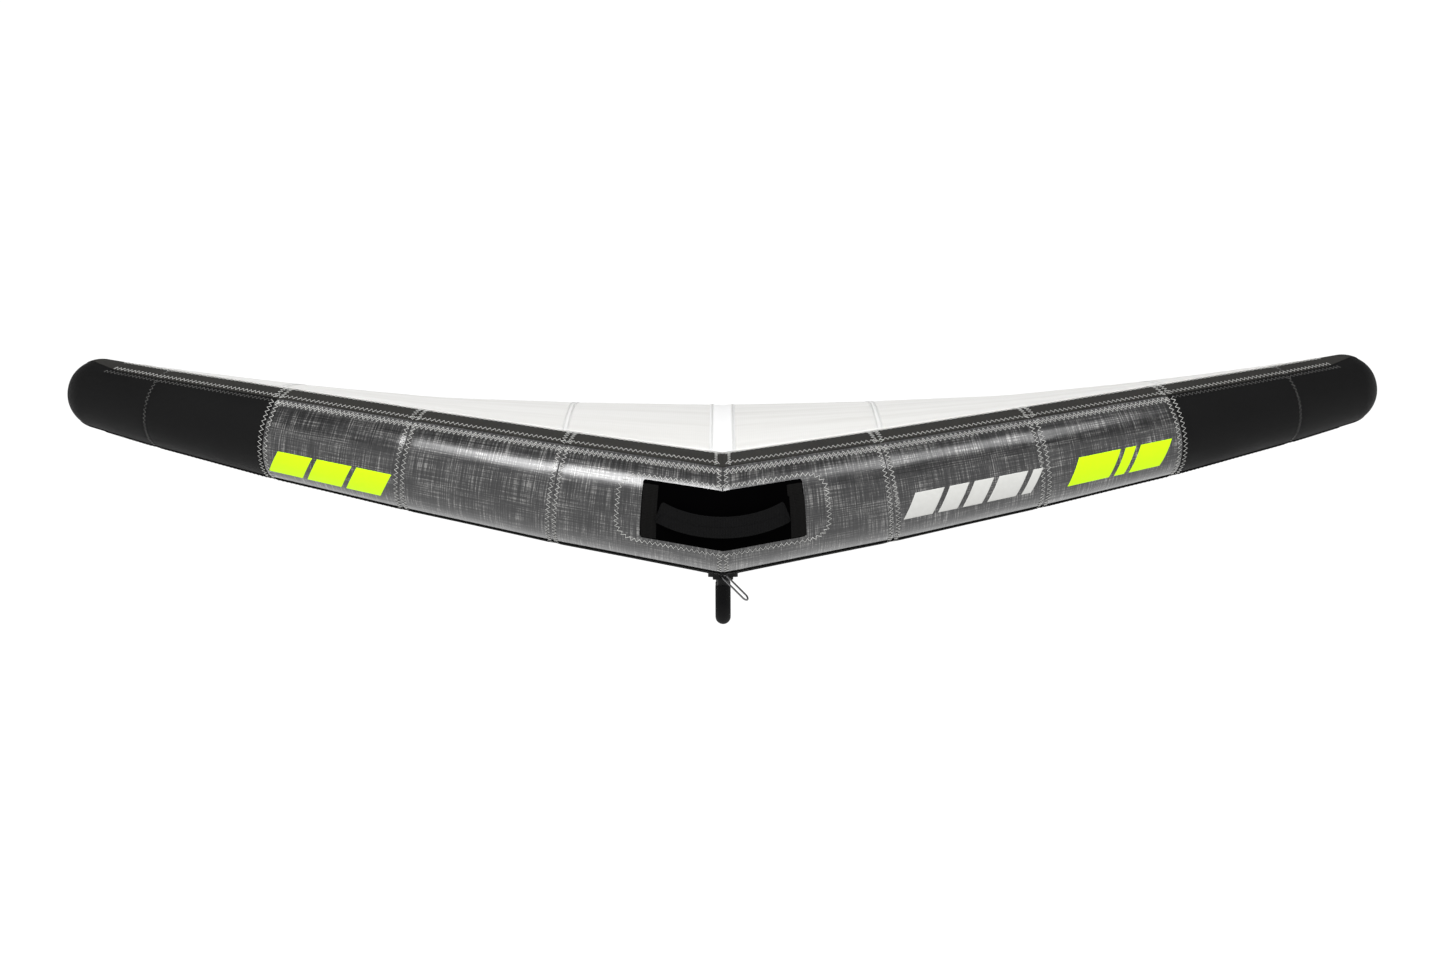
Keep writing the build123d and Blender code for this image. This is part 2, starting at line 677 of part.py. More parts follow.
def handle_nodes():
    nodes = {}
    for name, sizes in (("front", FRONT_HANDLE), ("rear", REAR_HANDLE)):
        for piece, shape in rigid_handle(*sizes).items():
            nodes[f"{name}_handle_{piece}"] = shape
    return nodes


def fitting_nodes():
    place = valve_plane().location
    return {
        "leash_loop": leash_loop(),
        "leash_ring": leash_ring(),
        "valve_body": place * valve_body(),
        "valve_poppet": place * valve_poppet(),
        "valve_spring": place * valve_spring(),
        "valve_cap": place * valve_cap(),
        "valve_hinge_pin": place * valve_pin(),
        "pump_hose": hose(),
        "hose_edge_fitting": edge_fitting(),
        "hose_strut_elbow": strut_elbow(),
        "hose_clamp_body": clamp_body(),
        "hose_clamp_lever": clamp_lever(),
        "hose_clamp_pin": clamp_pin(),
    }


def grip_centre():
    """Centre of the front handle's grip, which becomes the origin."""
    return (handle_location(FRONT_HANDLE[0]) * Location((0, 0, -GRIP_DROP))).position


def main():
    os.makedirs("parts", exist_ok=True)
    nodes = {**leading_edge_nodes(), **canopy_nodes(), **strut_nodes(), **handle_nodes(), **fitting_nodes()}
    move = Location(-grip_centre())
    for name, shape in nodes.items():
        export_step(move * shape, f"parts/{name}.step")


main()
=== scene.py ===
import math

import bmesh
import bpy
import numpy as np
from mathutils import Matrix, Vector
from mathutils.bvhtree import BVHTree
from mathutils.kdtree import KDTree


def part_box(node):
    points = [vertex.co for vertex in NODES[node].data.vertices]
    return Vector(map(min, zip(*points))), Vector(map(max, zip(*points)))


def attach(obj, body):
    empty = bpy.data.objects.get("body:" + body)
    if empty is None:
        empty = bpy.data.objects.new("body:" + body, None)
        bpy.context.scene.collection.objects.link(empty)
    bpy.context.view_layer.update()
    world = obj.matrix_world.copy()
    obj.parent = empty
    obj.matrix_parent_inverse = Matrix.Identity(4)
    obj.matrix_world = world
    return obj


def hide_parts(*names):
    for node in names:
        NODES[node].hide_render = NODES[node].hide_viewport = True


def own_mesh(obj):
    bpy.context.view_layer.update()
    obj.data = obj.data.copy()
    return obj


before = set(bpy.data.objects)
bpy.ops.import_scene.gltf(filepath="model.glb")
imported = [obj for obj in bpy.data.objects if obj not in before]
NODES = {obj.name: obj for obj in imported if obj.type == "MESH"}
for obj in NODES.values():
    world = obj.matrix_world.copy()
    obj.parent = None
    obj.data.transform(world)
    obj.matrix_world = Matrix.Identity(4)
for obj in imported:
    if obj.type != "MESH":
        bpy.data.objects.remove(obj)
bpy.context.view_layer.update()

MM = 0.001
WING = "wing"
SIDES = {"right": 1, "left": -1}     # and the sign of X there
PANELS = ("inner", "mid", "outer", "shoulder", "tip")
LAMINATE_PANELS = 3                  # the panels beyond them are black cloth
DOME_DEPTH = 50 * MM                 # of the tip's round end, for fitting a ball to it
MIDDLE_REACH = 0.01 * MM             # vertices this close to the middle plane are on it


# ---------------------------------------------------------------- reading the frame
def vertices(node):
    mesh = NODES[node].data
    points = np.empty(len(mesh.vertices) * 3)
    mesh.vertices.foreach_get("co", points)
    return points.reshape(-1, 3)


def shared_points(node, other, reach=0.4 * MM):
    """Vertices of a node that lie on its seam with another node."""
    tree = KDTree(len(vertices(other)))
    for index, point in enumerate(vertices(other)):
        tree.insert(point, index)
    tree.balance()
    return np.array([p for p in vertices(node) if tree.find(p)[2] < reach])


def fit_ring(points):
    """Centre, normal towards +X and radius of a ring of points."""
    middle = points.mean(axis=0)
    _, _, axes = np.linalg.svd(points - middle)
    normal = axes[2] * np.sign(axes[2][0])
    flat = (points - middle) @ axes[:2].T
    system = np.c_[2 * flat, np.ones(len(flat))]
    answer = np.linalg.lstsq(system, (flat ** 2).sum(axis=1), rcond=None)[0]
    centre = middle + answer[:2] @ axes[:2]
    return centre, normal, np.linalg.norm(points - centre, axis=1).max()


def fit_ball(points):
    system = np.c_[2 * points, np.ones(len(points))]
    centre = np.linalg.lstsq(system, (points ** 2).sum(axis=1), rcond=None)[0][:3]
    return centre, np.linalg.norm(points - centre, axis=1).max()


def edge_rings():
    """Rings of the leading edge at the middle, at each seam and at the tip's dome."""
    names = [f"edge_panel_{panel}_right" for panel in PANELS]
    first = vertices(names[0])
    centre, _, radius = fit_ring(first[first[:, 0] < MIDDLE_REACH])
    rings = [(centre * (0, 1, 1), np.array((1.0, 0, 0)), radius)]
    rings += [fit_ring(shared_points(a, b)) for a, b in zip(names, names[1:])]
    tip = vertices(names[-1])
    centre, radius = fit_ball(tip[tip[:, 0] > tip[:, 0].max() - DOME_DEPTH])
    run = centre - rings[-1][0]
    rings.append((centre, run / np.linalg.norm(run), radius))
    out = []
    for centre, normal, radius in rings:
        up = np.array((0, 0, 1.0)) - normal * normal[2]
        up /= np.linalg.norm(up)
        out.append((centre, up, np.cross(normal, up), normal, radius))
    return out


RINGS = edge_rings()
LAST = len(RINGS) - 1
RUNS = [np.linalg.norm(b[0] - a[0]) for a, b in zip(RINGS, RINGS[1:])] + [RINGS[-1][4] * math.pi / 2]
STARTS = np.concatenate([[0], np.cumsum(RUNS)])


def along(place):
    """Distance from the middle along the leading edge, in metres."""
    return np.interp(place, np.arange(len(STARTS)), STARTS)


def place_at(distance):
    return np.interp(distance, STARTS, np.arange(len(STARTS)))


def seam_distance(place):
    """Distance to the nearest seam across the tube."""
    seams = STARTS[:LAST]
    return np.abs(along(place)[..., None] - seams).min(axis=-1)


SWELL, PINCH, PINCH_REACH = 0.4 * MM, 1.15 * MM, 9 * MM
PUCKER, PUCKER_REACH = 0.22 * MM, 22 * MM
UNEVEN = 0.25 * MM


def relief(place, angle):
    """Height of the inflated cloth over its plain shape: seams pull in and pucker."""
    turn = np.radians(angle)
    far = seam_distance(place)
    pinch = SWELL - PINCH * np.exp(-(far / PINCH_REACH) ** 2)
    wave = np.sin(23 * turn + 5 * np.floor(place + 0.5)) + 0.7 * np.sin(41 * turn + 1.3)
    pucker = PUCKER * wave * np.exp(-far / PUCKER_REACH)
    soft = UNEVEN * np.sin(3 * turn + 9 * along(place)) * np.sin(11 * along(place) + 2 * turn)
    return pinch + pucker + soft


def tube_point(place, angle, off=0.0, side=1):
    """Points on the leading edge's cloth; angle runs from the top towards the front."""
    place, angle = np.broadcast_arrays(np.asarray(place, float), np.asarray(angle, float))
    turn = np.radians(angle)[..., None]
    off = np.asarray(off + relief(place, angle))[..., None]
    result = np.zeros(place.shape + (3,))
    first = np.clip(np.floor(place).astype(int), 0, LAST - 1)
    share = np.clip(place - first, 0, 1)[..., None]
    for index in range(LAST):
        ends = []
        for centre, up, forward, _, radius in RINGS[index:index + 2]:
            ends.append(centre + (up * np.cos(turn) + forward * np.sin(turn)) * (radius + off))
        result = np.where((first == index)[..., None], ends[0] * (1 - share) + ends[1] * share, result)
    centre, up, forward, normal, radius = RINGS[-1]
    pole = np.clip(place - LAST, 0, 1)[..., None] * math.pi / 2
    radial = up * np.cos(turn) + forward * np.sin(turn)
    dome = centre + (radial * np.cos(pole) + normal * np.sin(pole)) * (radius + off)
    result = np.where((place > LAST)[..., None], dome, result)
    return result * (side, 1, 1)


# ---------------------------------------------------------------- mesh helpers
def add_mesh(name, points, faces, loop_uv=None, material=None, flip=False):
    if flip:
        faces = [tuple(reversed(face)) for face in faces]
        loop_uv = None if loop_uv is None else [tuple(reversed(face)) for face in loop_uv]
    mesh = bpy.data.meshes.new(name)
    mesh.from_pydata([tuple(p) for p in points], [], faces)
    if loop_uv is not None:
        layer = mesh.uv_layers.new(name="cloth")
        layer.data.foreach_set("uv", np.array(loop_uv, float).ravel())
    mesh.polygons.foreach_set("use_smooth", [True] * len(mesh.polygons))
    mesh.update()
    piece = bpy.data.objects.new(name, mesh)
    bpy.context.scene.collection.objects.link(piece)
    if material:
        mesh.materials.append(material)
    return piece


def grid(name, points, uv, material, closed=False, flip=False):
    """Sheet of quads over an array of points, closed round its second axis or not."""
    rows, cols = points.shape[:2]
    last = cols if closed else cols - 1
    faces, loops = [], []
    for i in range(rows - 1):
        for j in range(last):
            k = (j + 1) % cols
            faces.append((i * cols + j, (i + 1) * cols + j, (i + 1) * cols + k, i * cols + k))
            loops.append((uv[i, j], uv[i + 1, j], uv[i + 1, j + 1], uv[i, j + 1]))
    return add_mesh(name, points.reshape(-1, 3), faces, loops, material, flip=flip)


def belong(piece, replaced=(), body=WING):
    """Ties a piece to its body and hides the CAD nodes it stands for."""
    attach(piece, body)
    if replaced:
        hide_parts(*replaced)
    return piece


def thicken(piece, thickness, offset=-1.0):
    solid = piece.modifiers.new("thickness", "SOLIDIFY")
    solid.thickness = thickness
    solid.offset = offset
    return piece


def directions(points):
    """Unit sideways and upright vectors along a path of points."""
    tangent = np.gradient(points, axis=0)
    tangent /= np.linalg.norm(tangent, axis=1)[:, None] + 1e-12
    side = np.cross(tangent, (0, 0, 1.0))
    steep = np.linalg.norm(side, axis=1) < 0.2
    side[steep] = np.cross(tangent[steep], (1.0, 0, 0))
    side /= np.linalg.norm(side, axis=1)[:, None]
    return side, np.cross(side, tangent)


def tubes(name, paths, radius, material, sides=4):
    """Closed tubes along several open paths, in one piece."""
    points, faces = [], []
    ring = np.linspace(0, 2 * math.pi, sides, endpoint=False)
    for path in paths:
        path = np.asarray(path, float)
        side, upright = directions(path)
        start, count = len(points), len(path)
        for p, s, u in zip(path, side, upright):
            points.extend(p + radius * (math.cos(a) * s + math.sin(a) * u) for a in ring)
        for i in range(count - 1):
            for j in range(sides):
                m = (j + 1) % sides
                faces.append((start + i * sides + j, start + i * sides + m,
                              start + (i + 1) * sides + m, start + (i + 1) * sides + j))
        faces.append(tuple(start + j for j in reversed(range(sides))))
        faces.append(tuple(start + (count - 1) * sides + j for j in range(sides)))
    return add_mesh(name, points, faces, material=material)


def zigzag(line, sideways, pitch, width):
    """Points of a zigzag thread that steps from side to side of a line."""
    length = np.concatenate([[0], np.cumsum(np.linalg.norm(np.diff(line, axis=0), axis=1))])
    count = max(4, int(round(length[-1] / (pitch / 2))))
    stops = np.linspace(0, length[-1], count + 1)
    place = np.stack([np.interp(stops, length, line[:, i]) for i in range(3)], axis=1)
    across = np.stack([np.interp(stops, length, sideways[:, i]) for i in range(3)], axis=1)
    across /= np.linalg.norm(across, axis=1)[:, None]
    swing = np.where(np.arange(count + 1) % 2 == 0, 0.5, -0.5)[:, None] * width
    return place + across * swing


# ---------------------------------------------------------------- materials
class Cloth:
    """Small helper that builds one material's nodes."""

    def __init__(self, name, color, roughness, metallic=0.0, coat=0.0, coat_roughness=0.2, specular=0.5):
        self.material = bpy.data.materials.new(name)
        self.material.use_nodes = True
        self.tree = self.material.node_tree
        self.shader = self.tree.nodes["Principled BSDF"]
        self.shader.inputs["Base Color"].default_value = (*color, 1)
        self.shader.inputs["Roughness"].default_value = roughness
        self.shader.inputs["Metallic"].default_value = metallic
        self.shader.inputs["Coat Weight"].default_value = coat
        self.shader.inputs["Coat Roughness"].default_value = coat_roughness
        self.shader.inputs["Specular IOR Level"].default_value = specular

    def node(self, kind, inputs=None, **settings):
        item = self.tree.nodes.new(kind)
        for key, value in settings.items():
            setattr(item, key, value)
        for key, value in (inputs or {}).items():
            if isinstance(value, bpy.types.NodeSocket):
                self.tree.links.new(value, item.inputs[key])
            else:
                item.inputs[key].default_value = value
        return item

    def on_cloth(self, scale):
        source = self.node("ShaderNodeUVMap", uv_map="cloth").outputs["UV"]
        return self.node("ShaderNodeMapping", {"Vector": source, "Scale": scale}).outputs["Vector"]

    def in_space(self, scale):
        source = self.node("ShaderNodeTexCoord").outputs["Object"]
        return self.node("ShaderNodeMapping", {"Vector": source, "Scale": scale}).outputs["Vector"]

    def fog(self, vector, detail):
        inputs = {"Vector": vector, "Scale": 1.0, "Detail": detail}
        return self.node("ShaderNodeTexNoise", inputs).outputs["Fac"]

    def noise(self, scale, detail):
        """Noise the same in every direction."""
        return self.fog(self.in_space((scale, scale, scale)), detail)

    def streaks(self, along_scale, across_scale, detail=3):
        """Noise drawn out along or across the cloth."""
        return self.fog(self.on_cloth((along_scale, across_scale, 1)), detail)

    def wave(self, pitch, axis):
        """Sine ridges a pitch apart across one axis of the cloth."""
        split = self.node("ShaderNodeSeparateXYZ", {"Vector": self.on_cloth((1, 1, 1))})
        phase = self.math("MULTIPLY", split.outputs[axis], 2 * math.pi / pitch)
        return self.math("SINE", phase)

    def math(self, operation, a, b=0.0, clamp=False):
        item = self.node("ShaderNodeMath", {0: a, 1: b}, operation=operation)
        item.use_clamp = clamp
        return item.outputs[0]

    def spread(self, value, gain):
        """Noise made stronger round zero."""
        return self.math("MULTIPLY", self.math("SUBTRACT", value, 0.5), gain)

    def ramp(self, value, stops):
        item = self.node("ShaderNodeValToRGB", {"Fac": value})
        ramp = item.color_ramp
        while len(ramp.elements) < len(stops):
            ramp.elements.new(0.5)
        for element, (position, shade) in zip(ramp.elements, stops):
            element.position = position
            element.color = (*shade, 1)
        return item.outputs["Color"]

    def mix(self, share, a, b):
        item = self.node("ShaderNodeMix", data_type="RGBA", blend_type="MIX")
        for index, value in ((0, share), (6, a), (7, b)):
            if isinstance(value, bpy.types.NodeSocket):
                self.tree.links.new(value, item.inputs[index])
            else:
                item.inputs[index].default_value = value if index == 0 else (*value, 1)
        return item.outputs[2]

    def color(self, value):
        self.tree.links.new(value, self.shader.inputs["Base Color"])

    def roughness(self, value):
        self.tree.links.new(value, self.shader.inputs["Roughness"])

    def bump(self, height, distance, strength=1.0):
        previous = self.shader.inputs["Normal"].links
        inputs = {"Height": height, "Distance": distance, "Strength": strength}
        if previous:
            inputs["Normal"] = previous[0].from_socket
        item = self.node("ShaderNodeBump", inputs)
        self.tree.links.new(item.outputs["Normal"], self.shader.inputs["Normal"])


def woven(name, dark, light, pitch, roughness, specular=0.5):
    """Plain woven cloth: crossing threads and uneven dye."""
    cloth = Cloth(name, dark, roughness, specular=specular)
    threads = cloth.math("MULTIPLY", cloth.wave(pitch, 0), cloth.wave(pitch, 1))
    dye = cloth.noise(9, 4)
    speck = cloth.noise(900, 2)
    share = cloth.math("ADD", cloth.math("MULTIPLY", dye, 0.7), cloth.math("MULTIPLY", speck, 0.4))
    share = cloth.math("ADD", share, cloth.math("MULTIPLY", threads, 0.12), clamp=True)
    cloth.color(cloth.mix(share, dark, light))
    cloth.roughness(cloth.math("ADD", cloth.math("MULTIPLY", dye, 0.2), roughness - 0.1))
    cloth.bump(threads, 0.15 * MM, 0.6)
    cloth.bump(cloth.noise(60, 3), 0.5 * MM, 0.25)
    return cloth.material


def laminate_cloth():
    """Grey scrim laminate: dark film with uneven pale fibres both ways under a clear skin."""
    cloth = Cloth("laminate", (0.08, 0.08, 0.085), 0.36, metallic=0.5, coat=1.0, coat_roughness=0.18)
    around = cloth.streaks(430, 13)
    lengthwise = cloth.streaks(11, 400)
    fine = cloth.streaks(1500, 120)
    blotch = cloth.streaks(17, 24, 5)
    value = cloth.math("ADD", cloth.spread(around, 1.9), cloth.spread(lengthwise, 1.5))
    value = cloth.math("ADD", value, cloth.spread(blotch, 0.8))
    value = cloth.math("ADD", value, cloth.spread(fine, 0.9))
    value = cloth.math("ADD", value, 0.42, clamp=True)
    stops = [(0.0, (0.003, 0.003, 0.003)), (0.3, (0.012, 0.012, 0.013)),
             (0.6, (0.042, 0.0415, 0.041)), (1.0, (0.27, 0.266, 0.26))]
    cloth.color(cloth.ramp(value, stops))
    cloth.roughness(cloth.math("ADD", cloth.math("MULTIPLY", blotch, 0.2), 0.22))
    cloth.bump(around, 0.3 * MM, 0.5)
    cloth.bump(lengthwise, 0.2 * MM, 0.35)
    return cloth.material


def canopy_cloth():
    """White ripstop: fine weave with a stronger thread every few millimetres."""
    cloth = Cloth("canopy_ripstop", (0.8, 0.8, 0.78), 0.42, specular=0.3)
    pitch, sharpness = 9 * MM, 14
    threads = [cloth.math("POWER", cloth.math("ABSOLUTE", cloth.wave(pitch, axis)), sharpness)
               for axis in (0, 1)]
    rip = cloth.math("MAXIMUM", *threads)
    streak = cloth.streaks(6, 260, 4)
    broad = cloth.streaks(1.6, 22, 4)
    streak = cloth.math("ADD", cloth.math("MULTIPLY", streak, 0.4), cloth.spread(broad, 1.8), clamp=True)
    tone = cloth.mix(cloth.math("MULTIPLY", streak, 0.9), (0.79, 0.785, 0.765), (0.66, 0.65, 0.625))
    cloth.color(cloth.mix(cloth.math("MULTIPLY", rip, 0.2), tone, (0.60, 0.595, 0.58)))
    cloth.roughness(cloth.math("ADD", cloth.math("MULTIPLY", streak, 0.2), 0.32))
    cloth.bump(rip, 0.12 * MM, 0.5)
    cloth.bump(cloth.streaks(8, 60), 1.2 * MM, 0.35)
    return cloth.material


def webbing_cloth(name, dark, light):
    """Woven strap with ribs across it."""
    cloth = Cloth(name, dark, 0.75, specular=0.05)
    ribs = cloth.wave(3.2 * MM, 0)
    threads = cloth.math("MULTIPLY", cloth.wave(1.4 * MM, 1), ribs)
    share = cloth.math("ADD", cloth.math("MULTIPLY", ribs, 0.25), 0.45)
    share = cloth.math("ADD", share, cloth.math("MULTIPLY", cloth.noise(300, 2), 0.3), clamp=True)
    cloth.color(cloth.mix(share, dark, light))
    cloth.bump(threads, 0.3 * MM, 0.8)
    cloth.bump(ribs, 0.3 * MM, 0.6)
    return cloth.material


def moulded(name, color, worn, roughness, grain=900, metallic=0.0, coat=0.0, specular=0.5):
    """Moulded plastic, rubber foam or metal with a fine grain and rubbed patches."""
    cloth = Cloth(name, color, roughness, metallic=metallic, coat=coat, specular=specular)
    patch = cloth.noise(35, 5)
    cloth.color(cloth.mix(cloth.math("POWER", patch, 2.0), color, worn))
    cloth.roughness(cloth.math("ADD", cloth.math("MULTIPLY", patch, 0.25), roughness - 0.1))
    cloth.bump(cloth.noise(grain, 2), 0.08 * MM, 0.5)
    return cloth.material


def thread_cloth(name, light, dark):
    """Sewing thread, slightly uneven."""
    cloth = Cloth(name, light, 0.6)
    cloth.color(cloth.mix(cloth.noise(700, 2), dark, light))
    cloth.bump(cloth.noise(1600, 2), 0.1 * MM, 0.6)
    return cloth.material


def print_ink(name, color, faded):
    """Ink that shows the cloth's streaks a little."""
    cloth = Cloth(name, color, 0.5, specular=0.2)
    cloth.color(cloth.mix(cloth.noise(120, 4), color, faded))
    cloth.bump(cloth.streaks(520, 60, 4), 0.15 * MM, 0.4)
    return cloth.material


MATERIALS = {
    "laminate": laminate_cloth(),
    "dacron": woven("black_dacron", (0.002, 0.002, 0.0021), (0.006, 0.006, 0.0061), pitch=1.1 * MM,
                    roughness=0.6, specular=0.1),
    "band": woven("band_cloth", (0.016, 0.0155, 0.0145), (0.036, 0.035, 0.032), pitch=1.6 * MM,
                  roughness=0.85, specular=0.15),
    "keel": woven("keel_cloth", (0.001, 0.001, 0.001), (0.003, 0.003, 0.003), pitch=1.6 * MM,
                  roughness=0.85, specular=0.03),
    "canopy": canopy_cloth(),
    "spine": woven("spine_cloth", (0.86, 0.86, 0.86), (0.95, 0.95, 0.95), pitch=1.2 * MM, roughness=0.5),
    "web": woven("web_cloth", (0.74, 0.75, 0.76), (0.86, 0.87, 0.88), pitch=1.2 * MM, roughness=0.6),
    "hem": woven("hem_tape", (0.07, 0.07, 0.072), (0.14, 0.14, 0.145), pitch=1.3 * MM, roughness=0.75,
                 specular=0.3),
    "seam_tape": woven("seam_tape", (0.80, 0.80, 0.79), (0.86, 0.86, 0.85), pitch=1.2 * MM, roughness=0.5),
    # near-black and glossless: black cloth darkened further, with painted shade standing in for the
    # handle's recess
    "patch": woven("padded_patch", (0.0004, 0.0004, 0.0005), (0.0012, 0.0011, 0.0012), pitch=2.2 * MM,
                   roughness=0.9, specular=0.0),
    "tab": webbing_cloth("tab_webbing", (0.002, 0.002, 0.002), (0.007, 0.0067, 0.0064)),
    "strap": webbing_cloth("strap_webbing", (0.002, 0.002, 0.0021), (0.0065, 0.0065, 0.0067)),
    "plastic": moulded("handle_plastic", (0.004, 0.004, 0.004), (0.012, 0.012, 0.012), 0.48, specular=0.2),
    "foam": moulded("grip_foam", (0.003, 0.003, 0.0033), (0.009, 0.009, 0.009), 0.75, grain=1500,
                    specular=0.12),
    "steel": moulded("polished_steel", (0.13, 0.13, 0.135), (0.22, 0.22, 0.215), 0.25, grain=500,
                     metallic=1.0),
    "valve": moulded("valve_plastic", (0.03, 0.03, 0.033), (0.06, 0.06, 0.062), 0.4, coat=0.2),
    "rubber": moulded("valve_rubber", (0.04, 0.04, 0.042), (0.08, 0.08, 0.08), 0.65, grain=1200),
    "hose": moulded("hose_rubber", (0.06, 0.06, 0.065), (0.12, 0.12, 0.125), 0.35, grain=800, coat=0.3),
    "zip": moulded("zip_plastic", (0.012, 0.012, 0.012), (0.03, 0.03, 0.03), 0.4),
    "film": moulded("bladder_film", (0.7, 0.75, 0.78), (0.8, 0.84, 0.86), 0.35, grain=60, coat=0.3),
    "batten": moulded("batten_rod", (0.02, 0.02, 0.02), (0.05, 0.05, 0.05), 0.35, grain=700),
    "light_thread": thread_cloth("light_thread", (0.72, 0.72, 0.70), (0.52, 0.52, 0.50)),
    "grey_thread": thread_cloth("grey_thread", (0.22, 0.22, 0.21), (0.12, 0.12, 0.12)),
    "dark_thread": thread_cloth("dark_thread", (0.03, 0.03, 0.03), (0.015, 0.015, 0.015)),
    "white_thread": thread_cloth("white_thread", (0.80, 0.80, 0.79), (0.66, 0.66, 0.65)),
    "neon": print_ink("neon_print", (0.62, 1.0, 0.0), (0.56, 0.93, 0.0)),
    "pale": print_ink("pale_print", (0.60, 0.60, 0.58), (0.52, 0.52, 0.50)),
}


# ---------------------------------------------------------------- camera
FOCAL_MM, SENSOR_MM = 79.7, 36
CAMERA_DISTANCE = 6.6
CAMERA_RISE = math.radians(1.25)
CAMERA_LOOKS_ABOVE = math.radians(0.585)
CAMERA_ROLL = math.radians(0.2)


def make_camera():
    """Camera in front of the wing, nearly level with its leading edge."""
    data = bpy.data.cameras.new("camera")
    data.lens = FOCAL_MM
    data.sensor_width = SENSOR_MM
    data.clip_end = 200
    camera = bpy.data.objects.new("camera", data)
    bpy.context.scene.collection.objects.link(camera)
    nose = RINGS[0][0]
    rise = CAMERA_DISTANCE * math.tan(CAMERA_RISE)
    camera.location = (nose[0], nose[1] - CAMERA_DISTANCE, nose[2] + rise)
    tilt = math.pi / 2 - CAMERA_RISE + CAMERA_LOOKS_ABOVE
    camera.rotation_mode = "XYZ"
    camera.rotation_euler = (tilt, CAMERA_ROLL, 0)
    bpy.context.scene.camera = camera


make_camera()


# ---------------------------------------------------------------- leading edge
ROW_SPACING, AROUND = 4.5 * MM, 160
DOME_ROWS, DOME_END = 26, 0.985      # the pole itself is closed by one face
SLEEVE_THICK = 0.3 * MM
OTHER_SIDE = 3                       # metres of cloth that keep the two sides' patterns apart
COVER_RADIUS = 0.1                   # turns an angle round a cover into a length of cloth
COVER_GAP = 0.25 * MM
BAND_BACK, BAND_FRONT, BAND_THICK = -20.0, 38.0, 0.8 * MM        # degrees round the tube
KEEL_FRONT, KEEL_BACK, KEEL_THICK = 161.0, 190.0, 1.0 * MM


def place_steps(start, end, spacing):
    """Places from start to end, a spacing in metres apart, closer by the seams."""
    count = max(2, int((along(end) - along(start)) / spacing))
    even = np.linspace(0, 1, count + 1)
    eased = even - 0.6 * np.sin(2 * math.pi * even) / (2 * math.pi)
    return place_at(along(start) + (along(end) - along(start)) * eased)


def edge_panel(index, side_name):
    """One sleeve panel, inflated, with puckers at its seams."""
    side = SIDES[side_name]
    has_dome = index == len(PANELS) - 1
    places = place_steps(index, index + 1, ROW_SPACING)
    if has_dome:
        places = np.concatenate([places, np.linspace(LAST, LAST + DOME_END, DOME_ROWS)[1:]])
    angles = np.linspace(0, 360, AROUND, endpoint=False)
    points = tube_point(places[:, None], angles[None, :], 0, side)
    radius = RINGS[index][4]
    uv = np.zeros((len(places), AROUND + 1, 2))
    uv[..., 0] = along(places)[:, None] + OTHER_SIDE * (side < 0)
    uv[..., 1] = np.radians(np.linspace(0, 360, AROUND + 1))[None, :] * radius
    cloth, slot = ("laminate", "laminate") if index < LAMINATE_PANELS else ("dacron", "black_dacron")
    name = f"{PANELS[index]}_{side_name}"
    piece = grid(f"sleeve_{name}", points, uv, MATERIALS[cloth], closed=True, flip=side > 0)
    if has_dome:
        close_tip(piece, len(places), AROUND, side)
    thicken(piece, SLEEVE_THICK)
    belong(piece, [f"edge_panel_{name}"])


def close_tip(piece, rows, cols, side):
    """Closes the small round hole at the dome's pole with one face."""
    mesh = piece.data
    rim = [(rows - 1) * cols + j for j in range(cols)]
    work = bmesh.new()
    work.from_mesh(mesh)
    work.verts.ensure_lookup_table()
    face = work.faces.new([work.verts[i] for i in (rim if side > 0 else reversed(rim))])
    face.smooth = True
    work.to_mesh(mesh)
    work.free()


def edge_cover(name, places, low, high, columns, thickness, cloth, side, replaced):
    """Padded cloth sewn on the leading edge, from a low to a high angle at each place."""
    turn = low[:, None] + (high - low)[:, None] * np.linspace(0, 1, columns)[None, :]
    points = tube_point(places[:, None], turn, COVER_GAP, side)
    uv = np.zeros(points.shape[:2] + (2,))
    uv[..., 0] = along(places)[:, None]
    uv[..., 1] = np.radians(turn) * COVER_RADIUS
    piece = grid(name, points, uv, cloth, flip=side > 0)
    thicken(piece, thickness, 1.0)
    belong(piece, [replaced])


def band_taper(places, low, high):
    """The top band narrows to a point on the tip's dome."""
    left = np.clip((places - (LAST - 0.35)) / 1.1, 0, 1)
    return low * (1 - left), high * (1 - left) + 2 * left


def edge_covers():
    """Dark band along the top and scuff strip along the underside."""
    steps = np.concatenate([place_steps(i, i + 1, 6 * MM)[:-1] for i in range(LAST)])
    steps = np.concatenate([steps, np.linspace(LAST, LAST + 0.7, 14)])
    short = steps[:-8]               # the keel strip stops earlier on the dome
    band_low, band_high = band_taper(steps, np.full(len(steps), BAND_BACK), np.full(len(steps), BAND_FRONT))
    keel_low, keel_high = np.full(len(short), KEEL_FRONT), np.full(len(short), KEEL_BACK)
    for side_name, side in SIDES.items():
        edge_cover(f"top_band_{side_name}", steps, band_low, band_high, 26, BAND_THICK,
                   MATERIALS["band"], side, "edge_top_band")
        edge_cover(f"keel_strip_{side_name}", short, keel_low, keel_high, 14, KEEL_THICK,
                   MATERIALS["keel"], side, "edge_keel_strip")


for panel_index in range(len(PANELS)):
    for panel_side in SIDES:
        edge_panel(panel_index, panel_side)
edge_covers()


# ---------------------------------------------------------------- stitching on the leading edge
THREAD, FINE_THREAD = 0.75 * MM, 0.4 * MM
OVER = 1.2 * MM                      # how much higher a stitch lies on the band or the keel strip
SEAM_SIDE = 7 * MM                   # from a seam to the zigzag beside it
RING_START, RING_END = BAND_FRONT + 4, 340
SIDE_STEP = 2 * MM                   # short step to one side of a line, to find that side's direction


